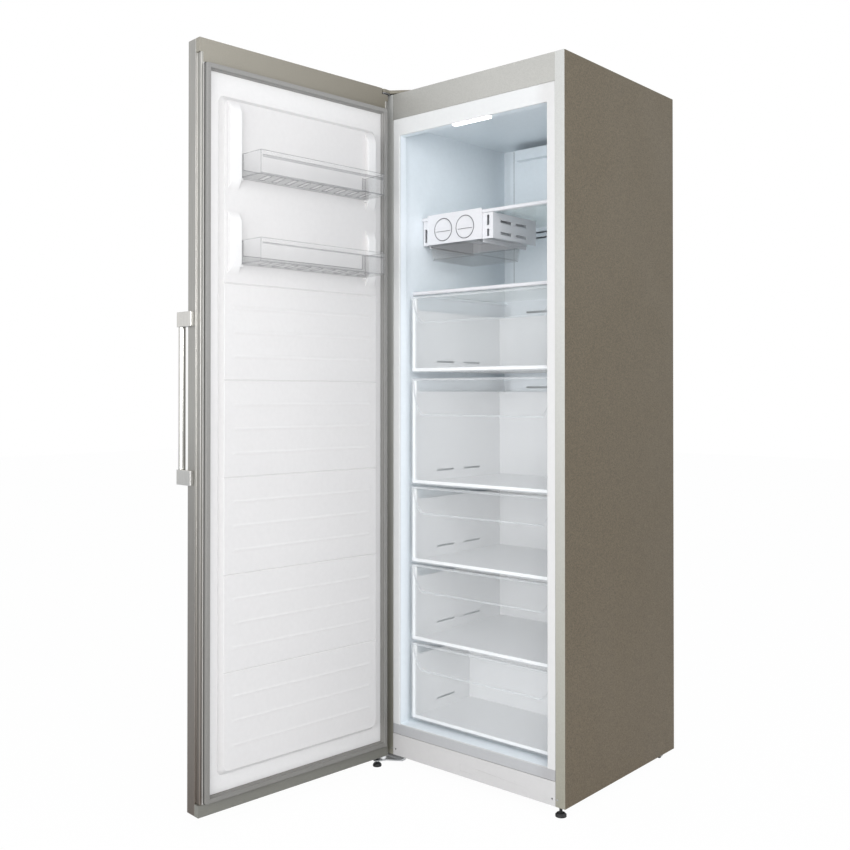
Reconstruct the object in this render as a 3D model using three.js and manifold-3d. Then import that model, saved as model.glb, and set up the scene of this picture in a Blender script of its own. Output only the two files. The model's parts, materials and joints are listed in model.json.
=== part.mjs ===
// An upright freezer with its door standing open. Millimetres, +Z up.
// In the source X runs across the front from the hinge side, Y runs back from the front plane
// of the cabinet, and Z is the height over the floor. The finished group is moved so that its
// origin is the centre of the pad of the front levelling foot on the hinge side.
import * as THREE from 'three';
import { mergeVertices } from 'three/addons/utils/BufferGeometryUtils.js';
import Module from 'manifold-3d';

const wasm = await Module();
wasm.setup();

// ---------------------------------------------------------------- driving dimensions
const seat = 0.3; // between pieces that touch
const sheet = 1; // folded steel sheet
const plastic = 2.5; // moulded walls
const glass = 4; // shelf plates

const cabinet = { width: 595, depth: 550, floorGap: 26 }; // the height follows from what stands inside
const stile = 28; // steel face at each side of the front
const flange = 24; // white frame between the stile and the opening
const topRail = 71; // steel face over the white frame
const headFlange = 47; // white frame over the opening
const plinthHeight = 60;
const sillHeight = 28; // white frame under the opening
const lip = { depth: 28, slope: 23, widening: 6, ceilingDepth: 25, ceilingSlope: 85, rise: 34 };
const backWall = 60; // from the air inside to the cabinet's back
const ceilingFall = 8; // from the back to the end of the slope
const bay = { depth: 185, height: 236, insulation: 60, frontInsulation: 35 }; // machine compartment
const hump = { slope: 30 }; // inner step over the machine compartment
const hem = { side: 12, rail: 14, top: 16, base: 18 }; // returns of the folded sheets

const drawer = {
  home: 40, // front face behind the cabinet's front plane
  sideGap: 6, // front to the opening's side
  frontWall: 3,
  rim: 13, // depth of the clear rim behind the front
  corner: 7,
  wall: 2.5,
  wingHeight: 36, // from the front's top down to the side walls
  wingDepth: 26,
  runner: { fromWall: 8, height: 8, lift: 14 },
  ledge: 14,
  grip: 0.34, // share of the front's height that is set back
  gripDepth: 5,
  gripInset: 6,
  gripCurve: 34,
  slot: { start: 100, pitch: 120, length: 76, height: 5, lift: 30 },
  notch: { start: 10, width: 180, depth: 22 },
  rearGap: 8,
};
const drawerHeight = 210;
const tallDrawerHeight = 293;
const drawers = [ // from the bottom up, with the gap under each
  { name: 'drawer_5', height: drawerHeight, below: 9, slots: 1 },
  { name: 'drawer_4', height: drawerHeight, below: 7, slots: 2 },
  { name: 'drawer_3', height: drawerHeight, below: 6, slots: 2 },
  { name: 'drawer_2', height: tallDrawerHeight, below: 7, slots: 2 },
  { name: 'drawer_1', height: drawerHeight, below: 17, slots: 2 },
];
const shelf = { trimHeight: 10, trimDepth: 12, lowerFront: 60, upperFront: 99, overDrawer: 6, ledge: 10 };
const iceRoom = 213; // from the lower shelf's top to the upper shelf's
const topRoom = 216; // from there to the opening's top
const lamp = { width: 120, height: 3, depth: [8, 20] };
const screwHole = { radius: 2.5, stile: 23, plinth: 38, height: 17 };
const plinthPad = { fromMiddle: -29.5, width: 43, lift: 14, height: 18, corner: 3, depth: 0.8 };

const cooler = { width: 395, depth: 42, outletHeight: 31, outletDepth: 23, outletInset: 36 };
const coil = { fins: 8, fin: 1, depth: 22, height: 230, length: 300, tube: 4, rows: 3 };
const fan = { radius: 48, hub: 14, blades: 5, depth: 12, plate: 36, pin: 2, underShelf: 120 };

const iceMaker = {
  left: 24, // from the cavity's wall
  width: 195,
  height: 84, // of the front plate
  length: 205,
  knobRadius: 30,
  knobDepth: 3,
  knobPitch: 78,
  knobHeight: 39, // over the lower edge of the front plate
  trayWidth: 52,
  trayDepth: 22,
  trayRows: 6,
  rightCheek: 34,
  leftCheek: 20,
  cheekSetBack: 6,
};
const iceBin = { height: 39, length: 190, draft: 5, rim: 4, rail: 8, railWall: 2 };

const door = {
  inset: 1, // from the cabinet's side
  gap: 14, // from the cabinet's front to the door's inner face
  thickness: 50,
  overTop: 13, // door's top over the cabinet's
  bottom: 25,
  capHeight: 34,
  band: 23, // inner band of the top cap under its head
  footCap: 29,
  sideDepth: 34, // of the steel side, from the front to its step
  step: 4, // inward, behind the steel side
  returnFlange: 10,
  openAngle: 95,
};
const gasket = { width: 17, lip: 4, foot: 5, squash: 0.6 };
const plug = { draft: 7, height: 18, clear: 6, corner: 14 };
const tower = { width: 25, height: 33, fromSide: 14, foot: 5, slope: 26 };
const peg = { reach: 8, height: 6, setBack: 6 };
const rib = { width: 12, height: 2.5, perSection: 3, inset: 20 };
const sectionHeight = 236;
const groove = 2;
const bin = { height: 58, reach: 90, wall: 2.5, taper: 5, slots: 9 };
const binDrop = { upper: 194, lower: 402 }; // bins' floors under the opening's top

const hinge = {
  x: 11,
  y: -22,
  pin: 4,
  play: 0.4,
  arm: 9,
  plate: 3,
  flange: { x: [4, 84], y: [28, 84], corner: 8 }, // screwed to the cabinet's top
  cover: { x: [3, 96], y: [24, 94], corner: 10, height: 9 },
  hood: { from: -5, to: [70, 32] }, // over the arm, level with the door's top, wider from the first place on
};
const lowerHinge = { plate: 3, height: 15, bushRadius: 9 };
const handle = { height: 415, bracket: 36, bar: 9, reach: 36, wrap: 28, beyond: 10, from: 805 };

const foot = { x: 6, y: -40, pad: 12, padHeight: 9, stud: 4, play: 0.4, studTop: 22 };
const rightFoot = { fromSide: 23, y: 16, pad: 14, padHeight: 9, studTop: 44 };
const roller = { radius: 12, width: 14, axle: 3, play: 0.3, fromSide: 34, fromBack: 28, cheek: 2, foot: 16 };
const compressor = { radius: 72, height: 150, fromRight: 165, grommet: 9, grommetHeight: 12 };
const condenser = { x: 50, toCompressor: 58, passes: 5, pitch: 28, tube: 3, plates: 2, height: 60 };
const drier = { top: 150, radius: 9, body: 60, shoulder: 8, neck: 10, neckRadius: 3, clip: 8 };

// ---------------------------------------------------------------- places worked out from them
const base = cabinet.floorGap;
const sill = base + plinthHeight + sillHeight;
let level = sill;
for (const d of drawers) {
  d.bottom = level + d.below;
  d.top = d.bottom + d.height;
  level = d.top;
}
const lowerShelfTop = level + shelf.overDrawer + shelf.trimHeight;
const upperShelfTop = lowerShelfTop + iceRoom;
const opening = {
  left: stile + flange,
  right: cabinet.width - stile - flange,
  bottom: sill,
  top: upperShelfTop + topRoom,
};
const top = opening.top + headFlange + topRail;
const cavity = {
  left: opening.left - lip.widening,
  right: opening.right + lip.widening,
  ceiling: opening.top + lip.rise,
};
const binHeights = { upper: opening.top - binDrop.upper, lower: opening.top - binDrop.lower };
const cavityDepth = cabinet.depth - backWall;
const humpTop = base + bay.height + bay.insulation;
const bayFloor = base + 2 * sheet; // base plate's upper face
const bayFront = cabinet.depth - bay.depth;
const humpFront = bayFront - bay.frontInsulation - hump.slope;

const door0 = { left: door.inset, right: cabinet.width - door.inset, back: -door.gap };
const doorFront = door0.back - door.thickness;
const doorStep = doorFront + door.sideDepth;
const doorTop = top + door.overTop;
const linerFrame = { left: door0.left + door.returnFlange, right: door0.right - door.returnFlange };
linerFrame.top = doorTop - door.capHeight - door.band;
linerFrame.bottom = door.bottom + door.footCap;

// ---------------------------------------------------------------- solids and shapes
function solidOf(geometry) {
  const bare = geometry.clone();
  bare.deleteAttribute('normal');
  bare.deleteAttribute('uv');
  const merged = mergeVertices(bare, 1e-4);
  return new wasm.Manifold(new wasm.Mesh({
    numProp: 3,
    vertProperties: new Float32Array(merged.attributes.position.array),
    triVerts: new Uint32Array(merged.index.array),
  }));
}

function geometryOf(solid) {
  const mesh = solid.getMesh();
  const geometry = new THREE.BufferGeometry();
  geometry.setAttribute('position', new THREE.BufferAttribute(new Float32Array(mesh.vertProperties), 3));
  geometry.setIndex(new THREE.BufferAttribute(new Uint32Array(mesh.triVerts), 1));
  return geometry;
}

function join(...geometries) {
  return geometryOf(geometries.map(solidOf).reduce((a, b) => a.add(b)));
}

function cut(body, ...tools) {
  return geometryOf(tools.map(solidOf).reduce((a, b) => a.subtract(b), solidOf(body)));
}

function common(a, b) {
  return geometryOf(solidOf(a).intersect(solidOf(b)));
}

function block(x, y, z) {
  const geometry = new THREE.BoxGeometry(x[1] - x[0], y[1] - y[0], z[1] - z[0]);
  return geometry.translate((x[0] + x[1]) / 2, (y[0] + y[1]) / 2, (z[0] + z[1]) / 2);
}

function outline(points) {
  return new THREE.Shape(points.map(([a, b]) => new THREE.Vector2(a, b)));
}

function roundedOutline(a, b, radius) {
  const shape = new THREE.Shape();
  shape.moveTo(a[0] + radius, b[0]);
  shape.lineTo(a[1] - radius, b[0]);
  shape.absarc(a[1] - radius, b[0] + radius, radius, -Math.PI / 2, 0);
  shape.lineTo(a[1], b[1] - radius);
  shape.absarc(a[1] - radius, b[1] - radius, radius, 0, Math.PI / 2);
  shape.lineTo(a[0] + radius, b[1]);
  shape.absarc(a[0] + radius, b[1] - radius, radius, Math.PI / 2, Math.PI);
  shape.lineTo(a[0], b[0] + radius);
  shape.absarc(a[0] + radius, b[0] + radius, radius, Math.PI, 1.5 * Math.PI);
  return shape;
}

function extrude(shape, depth, curveSegments = 4) {
  return new THREE.ExtrudeGeometry(shape, { depth, bevelEnabled: false, curveSegments });
}

// a shape drawn in X and Y, raised along Z
function prismZ(shape, z, curveSegments) {
  return extrude(shape, z[1] - z[0], curveSegments).translate(0, 0, z[0]);
}

// a shape drawn in Y and Z, carried along X
function prismX(shape, x, curveSegments) {
  const turn = new THREE.Matrix4().set(0, 0, 1, x[0], 1, 0, 0, 0, 0, 1, 0, 0, 0, 0, 0, 1);
  return extrude(shape, x[1] - x[0], curveSegments).applyMatrix4(turn);
}

// a shape drawn in X and Z, carried along Y
function prismY(shape, y, curveSegments) {
  const turn = new THREE.Matrix4().set(1, 0, 0, 0, 0, 0, -1, y[1], 0, 1, 0, 0, 0, 0, 0, 1);
  return extrude(shape, y[1] - y[0], curveSegments).applyMatrix4(turn);
}

function rod(axis, centre, radius, span, sides = 16) {
  const geometry = new THREE.CylinderGeometry(radius, radius, span[1] - span[0], sides);
  const middle = (span[0] + span[1]) / 2;
  if (axis === 'x') return geometry.rotateZ(-Math.PI / 2).translate(middle, centre[0], centre[1]);
  if (axis === 'y') return geometry.translate(centre[0], middle, centre[1]);
  return geometry.rotateX(Math.PI / 2).translate(centre[0], centre[1], middle);
}

// a closed skin over rings with the same number of points, flat at both ends
function loft(rings) {
  const count = rings[0].length;
  const points = rings.flat().map((p) => new THREE.Vector3(...p));
  const triangles = [];
  for (let ring = 0; ring + 1 < rings.length; ring += 1) {
    for (let i = 0; i < count; i += 1) {
      const a = ring * count + i;
      const b = ring * count + ((i + 1) % count);
      triangles.push([a, b, b + count], [a, b + count, a + count]);
    }
  }
  const last = (rings.length - 1) * count;
  for (let i = 1; i + 1 < count; i += 1) {
    triangles.push([0, i + 1, i], [last, last + i, last + i + 1]);
  }
  const volume = triangles.reduce((sum, [a, b, c]) => (
    sum + points[a].dot(points[b].clone().cross(points[c]))), 0);
  const facing = volume > 0 ? triangles : triangles.map(([a, b, c]) => [a, c, b]);
  const geometry = new THREE.BufferGeometry();
  geometry.setAttribute('position', new THREE.Float32BufferAttribute(points.flatMap((p) => p.toArray()), 3));
  geometry.setIndex(facing.flat());
  return geometry;
}

// a rectangle in X and Z with cut or rounded corners, at one depth
function ringXZ(x, z, y, radius = 0) {
  const steps = 3;
  if (radius <= 0) return [[x[0], y, z[0]], [x[1], y, z[0]], [x[1], y, z[1]], [x[0], y, z[1]]];
  const corners = [[x[1], z[0], -90], [x[1], z[1], 0], [x[0], z[1], 90], [x[0], z[0], 180]];
  return corners.flatMap(([cx, cz, start], corner) => {
    const mx = cx + (corner === 0 || corner === 1 ? -radius : radius);
    const mz = cz + (corner === 1 || corner === 2 ? -radius : radius);
    return Array.from({ length: steps + 1 }, (_, i) => {
      const angle = THREE.MathUtils.degToRad(start + (90 * i) / steps);
      return [mx + radius * Math.cos(angle), y, mz + radius * Math.sin(angle)];
    });
  });
}

// the same in X and Y, at one height
function ringXY(x, y, z, radius) {
  return ringXZ(x, y, z, radius).map(([a, height, b]) => [a, b, height]);
}

function grown(span, by) {
  return [span[0] - by, span[1] + by];
}

// the same piece on the other side of the freezer
function mirrored(geometry) {
  return geometryOf(solidOf(geometry).mirror([1, 0, 0])).translate(cabinet.width, 0, 0);
}

function smoothTube(points, radius, sides, perStretch) {
  const curve = new THREE.CatmullRomCurve3(points.map((p) => new THREE.Vector3(...p)), false, 'centripetal');
  const section = new THREE.Shape();
  for (let i = 0; i < sides; i += 1) {
    const angle = (2 * Math.PI * i) / sides;
    const place = [radius * Math.cos(angle), radius * Math.sin(angle)];
    if (i === 0) section.moveTo(...place);
    else section.lineTo(...place);
  }
  return new THREE.ExtrudeGeometry(section, {
    steps: perStretch * (points.length - 1),
    extrudePath: curve,
    bevelEnabled: false,
  });
}

// ---------------------------------------------------------------- materials
const finishes = {
  sideSteel: { color: 0x77725f, roughness: 0.5, metalness: 0.6 },
  faceSteel: { color: 0xb9b6ad, roughness: 0.42, metalness: 0.6 },
  doorSteel: { color: 0xa3a29c, roughness: 0.38, metalness: 0.7 },
  zincSteel: { color: 0x9a9c9c, roughness: 0.45, metalness: 0.7 },
  hingeSteel: { color: 0x5d5f60, roughness: 0.4, metalness: 0.8 },
  handleSteel: { color: 0xcfcdc8, roughness: 0.28, metalness: 0.8 },
  aluminium: { color: 0xc9ccce, roughness: 0.4, metalness: 0.9 },
  copper: { color: 0xb87345, roughness: 0.35, metalness: 0.9 },
  blackPaint: { color: 0x1b1c1d, roughness: 0.5, metalness: 0.1 },
  whiteLiner: { color: 0xf1f3f4, roughness: 0.35, metalness: 0 },
  whitePlastic: { color: 0xf4f5f6, roughness: 0.3, metalness: 0 },
  greyPlastic: { color: 0xaaa79d, roughness: 0.5, metalness: 0 },
  blackPlastic: { color: 0x1d1e1f, roughness: 0.6, metalness: 0 },
  clearPlastic: { color: 0xe6eef2, roughness: 0.1, metalness: 0, transparent: true, opacity: 0.35 },
  lamp: { color: 0xffffff, roughness: 0.4, metalness: 0 },
  seal: { color: 0x8f8c86, roughness: 0.7, metalness: 0 },
  foam: { color: 0xe2d6a6, roughness: 0.9, metalness: 0 },
  rubber: { color: 0x17181a, roughness: 0.8, metalness: 0 },
};

function piece(name, geometry, finish) {
  const mesh = new THREE.Mesh(geometry, new THREE.MeshStandardMaterial(finishes[finish]));
  mesh.name = name;
  return mesh;
}

// ---------------------------------------------------------------- cabinet shell
const insideSides = [sheet + seat, cabinet.width - sheet - seat];
const betweenStiles = [stile + seat, cabinet.width - stile - seat];

function sidePanel() {
  const back = cabinet.depth;
  const profile = outline([
    [0, 0], [stile, 0], [stile, sheet], [sheet, sheet],
    [sheet, back - sheet], [hem.side, back - sheet], [hem.side, back], [0, back],
  ]);
  const screw = rod('y', [screwHole.stile, base + screwHole.height], screwHole.radius, [-1, 2], 10);
  return cut(prismZ(profile, [base, top]), screw);
}

function frontTopRail() {
  const face = top - topRail;
  const profile = outline([
    [0, face], [hem.rail, face], [hem.rail, face + sheet], [sheet, face + sheet],
    [sheet, top - sheet], [hem.rail, top - sheet], [hem.rail, top], [0, top],
  ]);
  return prismX(profile, betweenStiles);
}

function topPanel() {
  const front = hem.rail + seat;
  const back = cabinet.depth;
  const profile = outline([
    [front, top - sheet], [back - sheet, top - sheet], [back - sheet, top - hem.top],
    [back, top - hem.top], [back, top], [front, top],
  ]);
  const flat = prismX(profile, grown(insideSides, -hem.side));
  const wings = block(insideSides, [front, back - 2 * sheet], [top - sheet, top]);
  return join(flat, wings);
}

function backPanel() {
  return block(
    grown([0, cabinet.width], -hem.side - seat),
    [cabinet.depth - sheet, cabinet.depth],
    [base + bay.height, top - hem.top - seat],
  );
}

function rollerCheeks(x) {
  const y = cabinet.depth - roller.fromBack;
  const inner = x + roller.width / 2 + 1;
  const outer = x - roller.width / 2 - 1;
  const tip = roller.foot * 0.45;
  const low = roller.radius / 2;
  const profile = outline([
    [y - roller.foot, base + sheet], [y - tip, low], [y + tip, low], [y + roller.foot, base + sheet],
  ]);
  return join(
    prismX(profile, [outer - roller.cheek, outer]),
    prismX(profile, [inner, inner + roller.cheek]),
    rod('x', [y, roller.radius], roller.axle, [outer - 1, inner + 1], 12),
  );
}

const rollerX = [roller.fromSide, cabinet.width - roller.fromSide];
const rightFootX = cabinet.width - rightFoot.fromSide;

function basePlate() {
  const front = plastic + seat + 1.2;
  const back = cabinet.depth - 2 * sheet;
  const profile = outline([
    [front, base], [back, base], [back, base + hem.base],
    [back - sheet, base + hem.base], [back - sheet, bayFloor], [front, bayFloor],
  ]);
  const plate = prismX(profile, insideSides);
  const stud = rod('z', [rightFootX, rightFoot.y], foot.stud + foot.play, [base - 1, bayFloor + 1], 12);
  return cut(join(plate, ...rollerX.map(rollerCheeks)), stud);
}

// the air space inside the cabinet, made larger all round for the back of its wall
function cavityAir(by) {
  const front = by > 0 ? 0 : -2;
  const side = outline([
    [front, opening.bottom - by], [humpFront + by / 2, opening.bottom - by],
    [humpFront + hump.slope + by / 2, humpTop - by], [cavityDepth + by, humpTop - by],
    [cavityDepth + by, cavity.ceiling + ceilingFall + by],
    [lip.ceilingDepth + lip.ceilingSlope, cavity.ceiling + by],
    [lip.ceilingDepth, opening.top + by], [front, opening.top + by],
  ]);
  const neck = lip.depth + lip.slope;
  const back = cavityDepth + by + 1;
  const plan = outline([
    [opening.left - by, front], [opening.right + by, front], [opening.right + by, lip.depth],
    [cavity.right + by, neck], [cavity.right + by, back], [cavity.left - by, back],
    [cavity.left - by, neck], [opening.left - by, lip.depth],
  ]);
  return common(
    prismX(side, [cavity.left - 20, cavity.right + 20]),
    prismZ(plan, [opening.bottom - 20, cavity.ceiling + 40]),
  );
}

function insulation() {
  const behind = plastic + seat;
  const back = cabinet.depth - sheet - seat;
  const wide = [0, cabinet.width];
  const shell = block(insideSides, [behind, back], [bayFloor + seat, top - sheet - seat]);
  const machineBay = block(wide, [bayFront, cabinet.depth], [0, base + bay.height]);
  const railFold = block(wide, [0, hem.rail + 2 * seat], grown([top - topRail, top - topRail + sheet], seat));
  const topFold = block(wide, [back - sheet, cabinet.depth], [top - hem.top - seat, top]);
  const cornerHem = block([0, hem.side + seat], [back, cabinet.depth], [0, top]);
  const studRoom = rod('z', [rightFootX, rightFoot.y], 2 * foot.stud, [base, rightFoot.studTop + 4], 12);
  return cut(
    shell, cavityAir(behind), machineBay, railFold, topFold, cornerHem, mirrored(cornerHem), studRoom);
}

// ---------------------------------------------------------------- liner, with ledges for drawers and shelves
const shelves = [
  { name: 'upper_shelf', front: shelf.upperFront, top: upperShelfTop },
  { name: 'lower_shelf', front: shelf.lowerFront, top: lowerShelfTop },
];
const drawerX = [opening.left + drawer.sideGap, opening.right - drawer.sideGap];
const tubX = grown(drawerX, -(drawer.wall + seat));
const tubFront = drawer.home + drawer.frontWall + seat;

function drawerBack(d) {
  const overHump = d.bottom > humpTop;
  return (overHump ? cavityDepth - cooler.depth : humpFront) - drawer.rearGap;
}

// rails along both side walls: z is their top, y where they begin and end
function sideRails(y, z, reach, height) {
  const rail = block([cavity.left - 1, cavity.left + reach], y, [z - height, z]);
  return [rail, mirrored(rail)];
}

function innerLiner() {
  const frame = block(betweenStiles, [0, plastic], [base + plinthHeight + seat, top - topRail - seat]);
  const drawerRails = drawers.flatMap((d) => sideRails(
    [tubFront + drawer.rim + 4, d.bottom > humpTop ? cavityDepth : humpFront],
    d.bottom + drawer.runner.lift - seat,
    drawer.ledge,
    drawer.runner.height,
  ));
  const shelfRails = shelves.flatMap((s) => sideRails(
    [s.front + shelf.trimDepth + 4, cavityDepth],
    s.top - glass - seat,
    shelf.ledge,
    shelf.ledge * 0.6,
  ));
  const air = cut(cavityAir(0), ...drawerRails, ...shelfRails);
  return cut(join(frame, cavityAir(plastic)), air);
}

function frontPlinth() {
  const plate = block(betweenStiles, [0, plastic], [base + seat, base + plinthHeight - seat]);
  const left = cabinet.width / 2 + plinthPad.fromMiddle;
  const low = base + plinthPad.lift;
  const pad = roundedOutline([left, left + plinthPad.width], [low, low + plinthPad.height], plinthPad.corner);
  const screwPlace = [cabinet.width - screwHole.plinth, base + screwHole.height];
  const screw = rod('y', screwPlace, screwHole.radius, [-1, plastic + 1], 10);
  return cut(plate, prismY(pad, [-1, plinthPad.depth]), screw, mirrored(screw));
}

function lampCover() {
  const x = grown([cabinet.width / 2, cabinet.width / 2], lamp.width / 2);
  return block(x, lamp.depth, [opening.top - lamp.height - seat, opening.top - seat]);
}

// ---------------------------------------------------------------- cold air unit behind the back cover
const coolerX = [(cabinet.width - cooler.width) / 2, (cabinet.width + cooler.width) / 2];
const coolerFront = cavityDepth - cooler.depth;
const coolerTop = cavity.ceiling - 6;
const fanPlace = [cabinet.width / 2, upperShelfTop - fan.underShelf];

function evaporatorCover() {
  const z = [humpTop + seat, coolerTop];
  const shell = cut(
    block(coolerX, [coolerFront, cavityDepth - seat], z),
    block(grown(coolerX, -plastic), [coolerFront + plastic, cavityDepth + 1], grown(z, -plastic)),
  );
  const outletZ = [coolerTop - 6 - cooler.outletHeight, coolerTop - 6];
  const outletX = grown(coolerX, -cooler.outletInset);
  const outletY = [coolerFront - cooler.outletDepth, coolerFront + 1];
  const outlet = block(outletX, outletY, outletZ);
  const inOutletZ = grown(outletZ, -plastic);
  const duct = block(grown(outletX, -plastic), [outletY[0] + plastic, coolerFront + 2 * plastic], inOutletZ);
  const endMouths = block(grown(outletX, 1), [outletY[0] + plastic, coolerFront - plastic], inOutletZ);
  const slot = (z, inset, height) => block(
    grown(coolerX, -inset), [coolerFront - 1, coolerFront + plastic + 1], [z - height, z]);
  const slots = [slot(upperShelfTop - 12, 95, 4), slot(upperShelfTop - 28, 95, 4)];
  for (const d of drawers.filter((one) => one.bottom > humpTop)) slots.push(slot(d.top - 20, 60, 6));
  return cut(join(shell, outlet), duct, endMouths, ...slots);
}

const coilBottom = humpTop + 90;
const coilX = [(cabinet.width - coil.length) / 2, (cabinet.width + coil.length) / 2];
const coilY = cavityDepth - seat - coil.depth;

function evaporatorCoil() {
  const finPitch = (coil.length - 40) / (coil.fins - 1);
  const fins = [];
  for (let i = 0; i < coil.fins; i += 1) {
    const x = coilX[0] + 20 + i * finPitch;
    fins.push(block([x, x + coil.fin], [coilY, coilY + coil.depth], [coilBottom, coilBottom + coil.height]));
  }
  const rowPitch = coil.height / coil.rows;
  const middle = coilY + coil.depth / 2;
  const tubes = [];
  for (let i = 0; i < coil.rows; i += 1) {
    tubes.push(rod('x', [middle, coilBottom + rowPitch * (i + 0.5)], coil.tube, coilX, 6));
  }
  for (let i = 0; i + 1 < coil.rows; i += 1) {
    const z = coilBottom + rowPitch * (i + 1);
    const x = i % 2 === 0 ? coilX[1] - coil.tube : coilX[0] + coil.tube;
    tubes.push(rod('z', [x, middle], coil.tube, grown([z, z], rowPitch / 2), 6));
  }
  return join(...fins, ...tubes);
}

function defrostHeater() {
  const z = coilBottom - 14;
  const y = cavityDepth - 2 * seat - 3.4;
  return smoothTube([
    [coilX[0] + 10, y, z - 30], [coilX[0] + 12, y, z - 6], [coilX[0] + 30, y, z],
    [coilX[1] - 30, y, z], [coilX[1] - 12, y, z - 6], [coilX[1] - 10, y, z - 30],
  ], 3.4, 6, 3);
}

function fanMotor() {
  const y = cavityDepth - seat;
  const [x, z] = fanPlace;
  const plate = roundedOutline(grown([x, x], fan.plate), grown([z, z], fan.plate), 8);
  return join(
    prismY(plate, [y - 3, y], 2),
    rod('y', fanPlace, 15, [y - 15, y - 2], 16),
    rod('y', fanPlace, fan.pin, [y - 20 - fan.depth / 2, y - 14], 8),
  );
}

function fanWheel() {
  const back = cavityDepth - seat - 16;
  const front = back - fan.depth;
  const blade = outline([[0, -10], [fan.radius - fan.hub + 4, -16], [fan.radius - fan.hub + 6, 6], [0, 6]]);
  const blades = [];
  for (let i = 0; i < fan.blades; i += 1) {
    const angle = (2 * Math.PI * i) / fan.blades;
    const one = extrude(blade, 1.5).rotateX(0.38).translate(fan.hub - 4, 0, 0);
    one.rotateZ(angle).rotateX(Math.PI / 2).translate(fanPlace[0], (back + front) / 2, fanPlace[1]);
    blades.push(one);
  }
  const hubBody = rod('y', fanPlace, fan.hub, [front, back], 16);
  return cut(join(hubBody, ...blades), rod('y', fanPlace, fan.pin + seat, [front + 2, back + 1], 8));
}

// ---------------------------------------------------------------- shelves
const shelfX = grown([cavity.left, cavity.right], -1);
const glassLap = 4; // of the plate over the trim

function shelfPlate({ front, top: topZ }) {
  const y = [front + shelf.trimDepth - glassLap, coolerFront - 2 * drawer.rearGap];
  return block(shelfX, y, [topZ - glass, topZ]);
}

function shelfTrim({ front, top: topZ }) {
  const low = topZ - shelf.trimHeight;
  const back = front + shelf.trimDepth;
  const under = topZ - glass - seat;
  const nose = outline([
    [front, low + 2], [front + 2, low], [back, low], [back, under], [back - glassLap - seat, under],
    [back - glassLap - seat, topZ], [front + 2, topZ], [front, topZ - 2],
  ]);
  return prismX(nose, shelfX);
}

// ---------------------------------------------------------------- ice maker under the upper shelf
const iceX = [cavity.left + iceMaker.left, cavity.left + iceMaker.left + iceMaker.width];
const iceFront = shelf.upperFront - plastic - seat;
const iceBack = iceFront + iceMaker.length;
const iceLow = upperShelfTop + 4 - iceMaker.height;
const iceZ = [iceLow, upperShelfTop - shelf.trimHeight - seat];
const knobZ = iceLow + iceMaker.knobHeight;
const knobX = [-0.5, 0.5].map((side) => (iceX[0] + iceX[1]) / 2 + side * iceMaker.knobPitch);
const trayY = [iceFront + 16, iceBack - 14];
const trayPin = 3.6;
const knobBack = iceFront + 7;

function iceMakerFrame() {
  const cheekFront = iceFront + iceMaker.cheekSetBack;
  const outerX = [iceX[0] - iceMaker.leftCheek, iceX[1] + iceMaker.rightCheek];
  const frontPlate = block(iceX, [iceFront, iceFront + plastic], [iceLow, upperShelfTop + 4]);
  const frontBlock = block(iceX, [iceFront, cheekFront + 1], iceZ);
  const housing = block(outerX, [cheekFront, iceBack], iceZ);
  const roomZ = [iceLow - 1, iceZ[1] - plastic];
  const room = block(grown(iceX, -plastic), grown([iceFront, iceBack], -plastic), roomZ);
  const sideRoom = (x) => block(x, [cheekFront + plastic, iceBack + 1], roomZ);
  const leftRoom = sideRoom([outerX[0] + plastic, iceX[0] - plastic]);
  const rightRoom = sideRoom([iceX[1] + plastic, outerX[1] - plastic]);
  const knobHoles = knobX.map((x) => (
    rod('y', [x, knobZ], iceMaker.knobRadius + 2 * seat, [iceFront - 1, iceFront + plastic + 0.5], 24)));
  const cheekSlot = (x, z) => block(grown([x, x], 4), [cheekFront - 1, cheekFront + plastic + 1], z);
  const slots = [
    cheekSlot(outerX[1] - iceMaker.rightCheek / 2, [iceLow + 36, iceLow + 64]),
    cheekSlot(outerX[1] - iceMaker.rightCheek / 2, [iceLow + 6, iceLow + 26]),
    cheekSlot(outerX[0] + iceMaker.leftCheek / 2, [iceLow + 10, iceLow + 46]),
  ];
  const sideSlot = { length: 50, height: 8 };
  for (const start of [iceFront + 40, iceFront + 110]) {
    for (const z of [iceLow + 12, iceLow + 44]) {
      const x = [outerX[1] - plastic - 1, outerX[1] + 1];
      slots.push(block(x, [start, start + sideSlot.length], [z, z + sideSlot.height]));
    }
  }
  const pinY = [iceBack - plastic - 1, iceBack + 1];
  const pinHoles = knobX.map((x) => rod('y', [x, knobZ], trayPin + seat, pinY, 12));
  const wallY = [iceFront + 10, iceBack];
  const railZ = [iceLow - iceBin.rail, iceLow + 1];
  const lipZ = [railZ[0], railZ[0] + iceBin.railWall];
  const rails = [
    block([iceX[0], iceX[0] + iceBin.railWall], wallY, railZ),
    block([iceX[0], iceX[0] + iceBin.railWall + iceBin.rim], wallY, lipZ),
    block([iceX[1] - iceBin.railWall, iceX[1]], wallY, railZ),
    block([iceX[1] - iceBin.railWall - iceBin.rim, iceX[1]], wallY, lipZ),
  ];
  const rooms = [room, leftRoom, rightRoom];
  const body = cut(join(frontPlate, frontBlock, housing), ...rooms, ...knobHoles, ...slots, ...pinHoles);
  return join(body, ...rails);
}

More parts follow.
